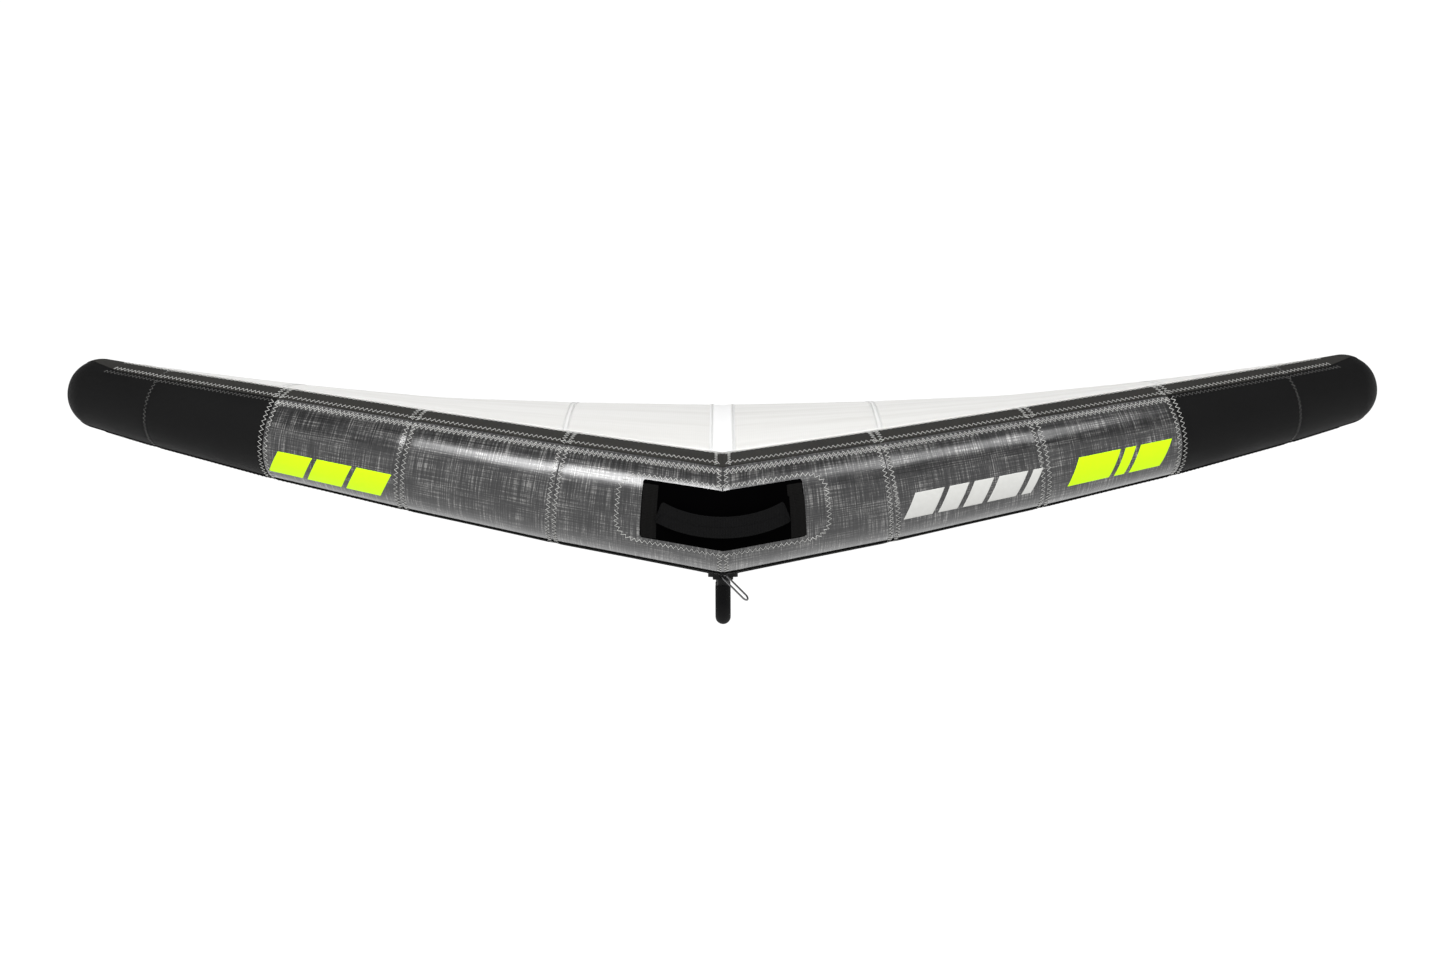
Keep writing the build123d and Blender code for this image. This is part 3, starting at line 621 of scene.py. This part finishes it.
def ring_stitch(place, side, offset, start, end, off, pitch=11 * MM, width=8.5 * MM):
    """Zigzag around part of the tube, beside a seam."""
    angles = np.arange(start, end, 1.5)
    at = place_at(along(place) + offset)
    line = tube_point(at, angles, off, side)
    ahead = tube_point(place_at(along(at) + SIDE_STEP), angles, off, side)
    behind = tube_point(place_at(max(along(at) - SIDE_STEP, 0)), angles, off, side)
    return zigzag(line, ahead - behind, pitch, width)


def long_stitch(start, end, side, angle, off, pitch=10 * MM, width=7.5 * MM):
    """Zigzag along the tube at one angle."""
    places = place_at(np.arange(along(start), along(end), 4 * MM))
    line = tube_point(places, angle, off, side)
    across = tube_point(places, angle + 2, off, side) - tube_point(places, angle - 2, off, side)
    return zigzag(line, across, pitch, width)


def edge_stitching():
    """Zigzags across and along the tube: on the laminate, the band, the black cloth, the keel strip."""
    light, band, grey, dark = [], [], [], []
    tip_seam = len(PANELS) - 1
    for side in SIDES.values():
        for seam in range(1, LAMINATE_PANELS + 1):
            for offset in (-SEAM_SIDE, SEAM_SIDE):
                light.append(ring_stitch(seam, side, offset, RING_START, RING_END, THREAD))
                band.append(ring_stitch(seam, side, offset, BAND_BACK, BAND_FRONT, THREAD + OVER))
        grey.append(ring_stitch(tip_seam, side, 0, RING_START, RING_END, THREAD, 9 * MM, 7 * MM))
        grey.append(ring_stitch(tip_seam, side, 0, BAND_BACK, BAND_FRONT, THREAD + OVER, 9 * MM, 7 * MM))
        light.append(ring_stitch(0, side, SEAM_SIDE, RING_START, 64, THREAD))
        light.append(ring_stitch(0, side, SEAM_SIDE, 130, 160, THREAD))
        band.append(ring_stitch(0, side, 2 * SEAM_SIDE, BAND_BACK, BAND_FRONT, THREAD + OVER,
                                9 * MM, 6 * MM))
        light.append(long_stitch(0.02, 3, side, BAND_FRONT + 6, THREAD, 10 * MM, 9 * MM))
        light.append(long_stitch(0.025, 3, side, BAND_FRONT + 9, THREAD, 10 * MM, 9 * MM))
        band.append(long_stitch(0.02, 4.7, side, BAND_FRONT - 5, THREAD + OVER, 10 * MM, 9 * MM))
        band.append(long_stitch(0.02, 4.7, side, 9, THREAD + OVER))
        grey.append(long_stitch(3.02, 4.8, side, BAND_FRONT + 5, THREAD))
        for angle in (165, 186):
            dark.append(long_stitch(0.02, 4.8, side, angle, THREAD + OVER))
    for name, paths, radius, thread in (("light", light, THREAD, "light_thread"),
                                        ("band", band, 0.6 * MM, "light_thread"),
                                        ("grey", grey, 0.45 * MM, "grey_thread"),
                                        ("dark", dark, 0.5 * MM, "dark_thread")):
        belong(tubes(f"edge_stitching_{name}", paths, radius, MATERIALS[thread]))


edge_stitching()


# ---------------------------------------------------------------- printed blocks
INK_THICK, INK_LIFT, BLOCK_GAP = 0.12 * MM, 0.15 * MM, 0.035     # the gap is a share of a panel


def printed_block(name, side, places, angles, slant, ink):
    """Thin slanted block of ink on the leading edge."""
    rows = np.linspace(0, 1, 40)
    cols = np.linspace(0, 1, 24)
    turn = angles[0] + (angles[1] - angles[0]) * cols[None, :]
    lean = slant * (cols[None, :] - 0.5)
    place = places[0] + (places[1] - places[0]) * rows[:, None] + lean
    turn = np.broadcast_to(turn, place.shape)
    points = tube_point(place, turn, INK_LIFT, side)
    uv = np.stack([along(place), np.radians(turn) * COVER_RADIUS], axis=-1)
    piece = grid(name, points, uv, MATERIALS[ink], flip=side > 0)
    thicken(piece, INK_THICK, 1.0)
    belong(piece)


def printed_marks():
    """Generic slanted bars where the wing carries its printing."""
    # name, side, ink, angles, first and last place, widths of the bars, slant
    groups = (
        ("mark_a", -1, "neon", (108, 142), 2.10, 2.93, (3, 3, 3), 0.09),
        ("mark_b", 1, "pale", (100, 128), 1.10, 1.94, (3, 2, 2, 3, 1), -0.09),
        ("mark_c", 1, "neon", (97, 131), 2.20, 2.88, (4, 1, 3), -0.09),
    )
    for name, side, ink, angles, start, end, widths, slant in groups:
        unit = (end - start - BLOCK_GAP * (len(widths) - 1)) / sum(widths)
        at = start
        for index, width in enumerate(widths):
            block = (at, at + unit * width)
            printed_block(f"{name}_{index}", side, block, angles, slant, ink)
            at += unit * width + BLOCK_GAP


printed_marks()


# ---------------------------------------------------------------- canopy
CANOPY_NODES = [f"canopy_{part}_{side}" for part in ("inner", "mid", "outer") for side in SIDES]
WITH_SPINE = CANOPY_NODES + ["canopy_spine"]
CANOPY_COLUMN, CANOPY_ROWS, ROW_CROWDING = 9 * MM, 110, 1.15     # rows lie closer by the leading edge
CANOPY_RIM, OUTER_RIM, OFF_MIDDLE = 0.6 * MM, 1.5 * MM, 1 * MM
SMOOTHING_ROUNDS = 14
CANOPY_THICK = 0.5 * MM
RISE_ALLOWANCE = 1.02                # estimate: cloth that rises to the tips is longer than its plan
SPINE_HALF, TAPE_HALF = 27 * MM, 7 * MM


def cut(nodes, axis, value):
    """Points where the edges of some CAD nodes cross a plane across an axis."""
    found = []
    for name in nodes:
        mesh = NODES[name].data
        points = vertices(name)
        ends = np.empty(len(mesh.edges) * 2, int)
        mesh.edges.foreach_get("vertices", ends)
        a, b = points[ends[0::2]], points[ends[1::2]]
        over = (a[:, axis] - value) * (b[:, axis] - value) < 0
        a, b = a[over], b[over]
        share = (value - a[:, axis]) / (b[:, axis] - a[:, axis])
        found.append(a + (b - a) * share[:, None])
    return np.concatenate(found)


def tree_of(nodes):
    """Search tree over the faces of several CAD nodes."""
    points, faces = [], []
    for name in nodes:
        start = len(points)
        points.extend(Vector(p) for p in vertices(name))
        faces.extend([start + i for i in face.vertices] for face in NODES[name].data.polygons)
    return BVHTree.FromPolygons(points, faces)


def canopy_grid():
    """Canopy's upper face as columns of points across the span, smoothed."""
    tree = tree_of(WITH_SPINE)
    high = min(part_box("canopy_outer_right")[1][0], -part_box("canopy_outer_left")[0][0]) - OUTER_RIM
    columns = np.concatenate([np.arange(0, high, CANOPY_COLUMN), [high]])
    shares = np.linspace(0, 1, CANOPY_ROWS) ** ROW_CROWDING
    points = np.zeros((len(columns), len(shares), 3))
    for i, x in enumerate(columns):
        sample = max(x, OFF_MIDDLE)
        edge = cut(WITH_SPINE, 0, sample)
        low, far = edge[:, 1].min() + CANOPY_RIM, edge[:, 1].max() - CANOPY_RIM
        for j, y in enumerate(low + (far - low) * shares):
            hit = tree.ray_cast(Vector((sample, y, 2)), Vector((0, 0, -1)))[0]
            points[i, j] = (x, y, hit.z if hit else np.nan)
    for row in points:
        good = ~np.isnan(row[:, 2])
        row[:, 2] = np.interp(row[:, 1], row[good, 1], row[good, 2])
    for _ in range(SMOOTHING_ROUNDS):
        z = points[..., 2]
        z[:, 1:-1] = (z[:, :-2] + 2 * z[:, 1:-1] + z[:, 2:]) / 4
        z[1:-1, 2:] = (z[:-2, 2:] + 2 * z[1:-1, 2:] + z[2:, 2:]) / 4
    return np.concatenate([points[:0:-1] * (-1, 1, 1), points])


CANOPY = canopy_grid()
CANOPY_X = CANOPY[:, 0, 0]
CANOPY_SEAMS = [side * RINGS[seam][0][0] for side in (-1, 1) for seam in (1, 3)]


def canopy_detail(points):
    """Height of the creases that run back from the leading edge."""
    x, back = points[..., 0], points[..., 1] - points[:, :1, 1]
    seams = np.array([0.0] + CANOPY_SEAMS)
    near = np.abs(x[..., None] - seams).min(axis=-1)
    crease = np.sin(95 * x + 2.5 * np.sin(21 * x)) * np.sin(37 * x + 1.0)
    fade = np.exp(-back / 0.10) * (1 - np.exp(-(back / 0.012) ** 2))
    pinch = -1.2 * np.exp(-(near / 0.012) ** 2) * np.clip(back / 0.05, 0, 1)
    ripple = 0.35 * np.sin(60 * near + 20 * back) * np.exp(-near / 0.05)
    return (1.6 * crease * fade + pinch + ripple) * MM


def canopy_at(x, shares):
    """Points on the canopy at one distance across and shares of its chord."""
    rows = np.linspace(0, 1, CANOPY.shape[1])
    column = np.array([[np.interp(x, CANOPY_X, CANOPY[:, j, k]) for k in range(3)]
                       for j in range(len(rows))])
    return np.stack([np.interp(shares, rows, column[:, k]) for k in range(3)], 1)


def canopy_strip(name, x, half, cloth, lift, thickness, replaced=()):
    """Tape or strip lying on the canopy from front to back."""
    shares = np.linspace(0.0, 0.995, 140)
    columns = [canopy_at(x + half * t, shares) + (0, 0, lift) for t in (-1, -0.5, 0, 0.5, 1)]
    points = np.stack(columns)
    uv = np.stack([points[..., 0], points[..., 1]], axis=-1)
    piece = grid(name, points, uv, cloth)
    thicken(piece, thickness, 1.0)
    return belong(piece, replaced)


def make_canopy():
    """Canopy with its tapes and middle strip; returns the cloth's flat size."""
    CANOPY[..., 2] += canopy_detail(CANOPY)
    uv = np.stack([CANOPY[..., 0], CANOPY[..., 1]], axis=-1)
    sheet = grid("canopy", CANOPY, uv, MATERIALS["canopy"])
    thicken(sheet, CANOPY_THICK)
    belong(sheet, CANOPY_NODES)
    diagonal = CANOPY[1:, 1:] - CANOPY[:-1, :-1]
    other = CANOPY[:-1, 1:] - CANOPY[1:, :-1]
    area = float(np.linalg.norm(np.cross(diagonal, other), axis=-1).sum() / 2)
    width = float(np.ptp(CANOPY_X)) * RISE_ALLOWANCE
    length = float(np.linalg.norm(np.diff(CANOPY[len(CANOPY) // 2], axis=0), axis=1).sum())
    spine = canopy_strip("spine_strip", 0.0, SPINE_HALF, MATERIALS["spine"],
                         lift=0.3 * MM, thickness=0.6 * MM, replaced=["canopy_spine"])
    for index, x in enumerate(CANOPY_SEAMS):
        canopy_strip(f"canopy_tape_{index}", x, TAPE_HALF, MATERIALS["seam_tape"],
                                  lift=0.2 * MM, thickness=0.3 * MM)
    return {"canopy_width": width, "canopy_length": length, "canopy_area": area}


sheets = make_canopy()


def canopy_stitching():
    """Zigzags along both edges of the middle strip and of each tape."""
    white = []
    shares = np.linspace(0.002, 0.99, 260)
    for x in [0.0] + CANOPY_SEAMS:
        reach = 22 * MM if x == 0 else 4.5 * MM
        lift = 1.2 * MM if x == 0 else 0.8 * MM
        for side in (-1, 1):
            line = canopy_at(x + side * reach, shares) + (0, 0, lift)
            white.append(zigzag(line, np.tile((1.0, 0, 0), (len(line), 1)), 9 * MM, 4 * MM))
    belong(tubes("canopy_stitching", white, FINE_THREAD, MATERIALS["white_thread"]))


canopy_stitching()


# ---------------------------------------------------------------- handle in the leading edge
PATCH_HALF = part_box("edge_handle_patch")[1][0]
PATCH_ANGLES, PATCH_CORNER, PATCH_THICK = (66.5, 125.0), 5 * MM, 1.6 * MM
TAB_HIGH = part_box("edge_handle_tabs")[1][0]
TAB_LOW = TAB_HIGH - 29 * MM
TAB_TOP, TAB_BOTTOM = 71, 123        # degrees round the tube
OUTLINE_HALF, OUTLINE_ANGLES, OUTLINE_CORNER = 203 * MM, (62.5, 130.5), 42 * MM
OUTLINE_STEP = 2 * MM                # between the outline's points
STRAP_THICK, STRAP_COLUMNS, STRAP_ROWS = 1.9 * MM, 65, 33
MIDDLE_RADIUS = RINGS[0][4]
FIRST_SEAM_X = RINGS[1][0][0]


def across_middle(x, angle, off):
    """Point on the leading edge's cloth at a distance to the right or left of its middle."""
    return tube_point(abs(x) / FIRST_SEAM_X, angle, off, -1 if x < 0 else 1)


def handle_patch():
    """Padded patch across the middle of the leading edge, with rounded corners; it lies flush, and its
    near-black, glossless cloth is darker than black cloth, as painted shade of a recess.
    """
    across = np.linspace(-PATCH_HALF, PATCH_HALF, 121)
    up_down = np.linspace(0, 1, 40)
    top, bottom = PATCH_ANGLES
    height = np.radians(bottom - top) * MIDDLE_RADIUS
    points = np.zeros((len(across), len(up_down), 3))
    uv = np.zeros((len(across), len(up_down), 2))
    for i, x in enumerate(across):
        inset = max(0.0, PATCH_CORNER - (PATCH_HALF - abs(x)))
        cut_off = PATCH_CORNER - math.sqrt(max(PATCH_CORNER ** 2 - inset ** 2, 0))
        low = top + (bottom - top) * cut_off / height
        high = bottom - (bottom - top) * cut_off / height
        turn = low + (high - low) * up_down
        points[i] = across_middle(x, turn, 0.3 * MM)
        uv[i, :, 0] = x
        uv[i, :, 1] = np.radians(turn) * MIDDLE_RADIUS
    piece = grid("handle_patch", points, uv, MATERIALS["patch"], flip=True)
    thicken(piece, PATCH_THICK, 1.0)
    belong(piece, ["edge_handle_patch"])


def lay_on_middle(points):
    """Carries a flat outline, drawn round its own centre, onto the leading edge's cloth."""
    turn = sum(OUTLINE_ANGLES) / 2 - np.degrees(points[:, 1] / MIDDLE_RADIUS)
    return np.array([across_middle(x, angle, THREAD) for x, angle in zip(points[:, 0], turn)])


def outline_stitch():
    """Zigzag round the rounded area on the middle of the leading edge."""
    right = OUTLINE_HALF - OUTLINE_CORNER
    top = np.radians(OUTLINE_ANGLES[1] - OUTLINE_ANGLES[0]) * MIDDLE_RADIUS / 2 - OUTLINE_CORNER
    path = []
    for x, y, start in ((right, top, 0), (-right, top, 90), (-right, -top, 180), (right, -top, 270)):
        for turn in np.radians(np.linspace(start, start + 90, 16)):
            path.append((x + OUTLINE_CORNER * math.cos(turn), y + OUTLINE_CORNER * math.sin(turn)))
    path = np.array(path + path[:1])
    length = np.concatenate([[0], np.cumsum(np.linalg.norm(np.diff(path, axis=0), axis=1))])
    stops = np.linspace(0, length[-1], int(length[-1] / OUTLINE_STEP))
    flat = np.stack([np.interp(stops, length, path[:, k]) for k in (0, 1)], 1)
    tangent = np.gradient(flat, axis=0)
    normal = np.stack([tangent[:, 1], -tangent[:, 0]], 1)
    normal *= SIDE_STEP / np.linalg.norm(normal, axis=1)[:, None]
    sideways = lay_on_middle(flat + normal) - lay_on_middle(flat - normal)
    return zigzag(lay_on_middle(flat), sideways, 11 * MM, 8.5 * MM)


def handle_tabs():
    """Ribbed webbing tabs at both ends of the slack handle."""
    across = np.linspace(0, 1, 41)
    turn = np.linspace(TAB_TOP, TAB_BOTTOM, 60)
    x = TAB_LOW + (TAB_HIGH - TAB_LOW) * across
    ribs = 1.1 * MM * (np.exp(-((across - 0.27) / 0.1) ** 2) + np.exp(-((across - 0.73) / 0.1) ** 2))
    for side_name, side in SIDES.items():
        step_out = 3 * MM * (turn > 82) * (side > 0)      # the right tab lies further out below its top
        points = np.zeros((len(x), len(turn), 3))
        uv = np.zeros((len(x), len(turn), 2))
        for i in range(len(x)):
            points[i] = tube_point((x[i] + step_out) / FIRST_SEAM_X, turn, 2.3 * MM + ribs[i], side)
            uv[i, :, 0] = np.radians(turn) * MIDDLE_RADIUS
            uv[i, :, 1] = x[i]
        piece = grid(f"handle_tab_{side_name}", points, uv, MATERIALS["tab"], flip=side > 0)
        thicken(piece, 1.8 * MM, 1.0)
        belong(piece, ["edge_handle_tabs"])


def webbing_band():
    """Slack strap of the handle: one layer folded over itself along its length."""
    low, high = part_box("edge_handle_webbing")
    columns = np.linspace(low[0] + 1.5 * MM, high[0] - 1.5 * MM, STRAP_COLUMNS)
    width = np.linspace(-1, 1, STRAP_ROWS)
    points, uv = np.zeros((STRAP_COLUMNS, STRAP_ROWS, 3)), np.zeros((STRAP_COLUMNS, STRAP_ROWS, 2))
    for i, x in enumerate(columns):
        ring = cut(["edge_handle_webbing"], 0, x)
        middle = (ring.min(axis=0) + ring.max(axis=0)) / 2
        _, _, axes = np.linalg.svd(ring - ring.mean(axis=0))
        broad = axes[0] * np.sign(axes[0][2])
        face = np.cross(broad, (1.0, 0, 0))
        face *= -np.sign(face[1])
        half = np.abs((ring - middle) @ broad).max()
        bow = -0.8 * width ** 2 + 0.9 * np.tanh((width - 0.05) / 0.05)
        bow += 0.5 * np.exp(-((np.abs(width) - 0.9) / 0.06) ** 2)
        points[i] = middle + np.outer(width * half, broad) + np.outer(bow * MM, face)
        uv[i, :, 0] = x
        uv[i, :, 1] = width * half
    piece = grid("handle_webbing", points, uv, MATERIALS["strap"], flip=True)
    thicken(piece, STRAP_THICK, 0.0)
    belong(piece, ["edge_handle_webbing"], "webbing_handle")


def leading_edge_handle():
    handle_patch()
    handle_tabs()
    webbing_band()
    belong(tubes("handle_stitching", [outline_stitch()], THREAD, MATERIALS["light_thread"]))


leading_edge_handle()


# ---------------------------------------------------------------- strut, valve and CAD pieces that stay
STRUT_SEAMS = (0.415, 0.745, 1.055)  # metres along Y
SPRING_WIRE, SPRING_TURNS, SPRING_PLAY = 0.45 * MM, 4.5, 0.3 * MM


def strut_stitching():
    """Double zigzag round three seams of the strut, open along its top."""
    rings = []
    turn = np.radians(np.arange(-160, 160, 4))
    for y in STRUT_SEAMS:
        centre, _, radius = fit_ring(cut(["strut_sleeve"], 1, y))
        reach = radius + FINE_THREAD
        for offset in (-4 * MM, 4 * MM):
            line = np.stack([centre[0] + np.sin(turn) * reach, np.full(len(turn), y + offset),
                             centre[2] - np.cos(turn) * reach], 1)
            rings.append(zigzag(line, np.tile((0, 1.0, 0), (len(line), 1)), 9 * MM, 5 * MM))
    belong(tubes("strut_stitching", rings, FINE_THREAD, MATERIALS["grey_thread"]))


strut_stitching()


def valve_coil():
    """Coil of the valve's spring, pressed together as the poppet goes in."""
    sleeve = vertices("valve_spring")
    middle = sleeve.mean(axis=0)
    axes = np.linalg.svd(sleeve - middle)[2]
    out = vertices("valve_cap").mean(axis=0) - middle
    axis = max(axes, key=lambda direction: abs(direction @ out))
    axis = axis * np.sign(axis @ out)
    across = np.cross(axis, (1.0, 0, 0))
    across /= np.linalg.norm(across)
    other = np.cross(axis, across)
    heights = (sleeve - middle) @ axis
    radius = max(np.ptp((sleeve - middle) @ direction) for direction in axes) / 2 - SPRING_WIRE
    share = np.linspace(0, 1, 200)
    turn = 2 * math.pi * SPRING_TURNS * share
    low, high = heights.min() + 1.6 * SPRING_WIRE, heights.max() - 1.6 * SPRING_WIRE
    coil = middle + np.outer(low + (high - low) * share, axis)
    coil = coil + radius * (np.outer(np.cos(turn), across) + np.outer(np.sin(turn), other))
    piece = tubes("valve_coil", [coil], SPRING_WIRE, MATERIALS["steel"], 8)
    belong(piece, ["valve_spring"])
    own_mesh(piece)


valve_coil()

HANDLE_LOOKS = {"plate": "plastic", "frame": "plastic", "grip": "foam", "screws": "steel", "patch": "band"}
LOOKS = {
    "edge_bladder": "film", "strut_bladder": "film",
    "spine_web": "web", "strut_sleeve": "dacron", "strut_tail_cap": "plastic",
    "strut_zip_tape": "strap", "strut_zip_teeth": "zip", "zip_slider": "steel", "zip_pull": "zip",
    "leash_loop": "strap", "leash_ring": "steel",
    "valve_body": "valve", "valve_poppet": "rubber", "valve_cap": "valve",
    "valve_hinge_pin": "steel", "pump_hose": "hose", "hose_edge_fitting": "valve",
    "hose_strut_elbow": "valve", "hose_clamp_body": "plastic", "hose_clamp_lever": "plastic",
    "hose_clamp_pin": "steel",
}
for side_word in SIDES:
    LOOKS.update({f"trailing_hem_{side_word}": "hem", f"batten_{side_word}": "batten",
                  f"batten_pocket_{side_word}": "seam_tape"})
for handle in ("front", "rear"):
    LOOKS.update({f"{handle}_handle_{part}": look for part, look in HANDLE_LOOKS.items()})


def dress_cad_pieces():
    """Materials of the CAD pieces that stay, and the size of the spine web, which is cloth."""
    for node, look in LOOKS.items():
        mesh = NODES[node].data
        mesh.materials.clear()
        mesh.materials.append(MATERIALS[look])
    web = NODES["spine_web"]
    low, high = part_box("spine_web")
    length, width = high[1] - low[1], high[2] - low[2]
    area = sum(face.area for face in web.data.polygons) / 2
    sheets.update(web_width=float(width), web_length=float(length), web_area=float(area))


dress_cad_pieces()


# ---------------------------------------------------------------- light and floor
SKY_BRIGHT, SKY_ZENITH, SKY_STRENGTH = 1.0, 0.25, 1.05
SKY_RAMP = (0.22, 0.5)               # heights between which the white sky turns to its darker zenith
FLOOR_HALF, FLOOR_Z, FLOOR_GLOW = 120.0, -7.0, 0.75


def area_light(name, place, target, size, power):
    data = bpy.data.lights.new(name, "AREA")
    data.shape = "RECTANGLE"
    data.size, data.size_y = size
    data.energy = power
    light = bpy.data.objects.new(name, data)
    bpy.context.scene.collection.objects.link(light)
    light.location = place
    light.rotation_euler = (Vector(target) - Vector(place)).to_track_quat("-Z", "Y").to_euler()


def sky():
    world = bpy.data.worlds.new("studio")
    bpy.context.scene.world = world
    world.use_nodes = True
    tree = world.node_tree
    source = tree.nodes.new("ShaderNodeTexCoord")
    split = tree.nodes.new("ShaderNodeSeparateXYZ")
    ramp = tree.nodes.new("ShaderNodeValToRGB")
    tree.links.new(source.outputs["Generated"], split.inputs[0])
    tree.links.new(split.outputs["Z"], ramp.inputs["Fac"])
    for element, height, shade in zip(ramp.color_ramp.elements, SKY_RAMP, (SKY_BRIGHT, SKY_ZENITH)):
        element.position = height
        element.color = (shade, shade, shade, 1)
    back = tree.nodes["Background"]
    tree.links.new(ramp.outputs["Color"], back.inputs["Color"])
    back.inputs["Strength"].default_value = SKY_STRENGTH


def floor():
    cloth = Cloth("floor", (0.9, 0.9, 0.9), 0.9)
    cloth.shader.inputs["Emission Color"].default_value = (1, 1, 1, 1)
    cloth.shader.inputs["Emission Strength"].default_value = FLOOR_GLOW
    corners = [(x, y, FLOOR_Z) for x, y in ((-FLOOR_HALF, -FLOOR_HALF), (FLOOR_HALF, -FLOOR_HALF),
                                            (FLOOR_HALF, FLOOR_HALF), (-FLOOR_HALF, FLOOR_HALF))]
    add_mesh("floor", corners, [(0, 1, 2, 3)], material=cloth.material)


def studio():
    """White surroundings, a pale floor far below and broad soft lamps."""
    sky()
    floor()
    y = RINGS[0][0][1]
    area_light("key", (-0.8, y - 3.0, 2.9), (-0.6, y, 0.2), size=(2.3, 1.4), power=140)
    area_light("key_right", (1.5, y - 2.0, 3.2), (0.8, y, 0.2), size=(1.6, 1.1), power=27)
    area_light("overhead", (0, y + 0.6, 4.2), (0, y + 0.6, 0.2), size=(5.0, 2.4), power=26)
    bpy.context.scene.view_settings.view_transform = "Standard"


studio()
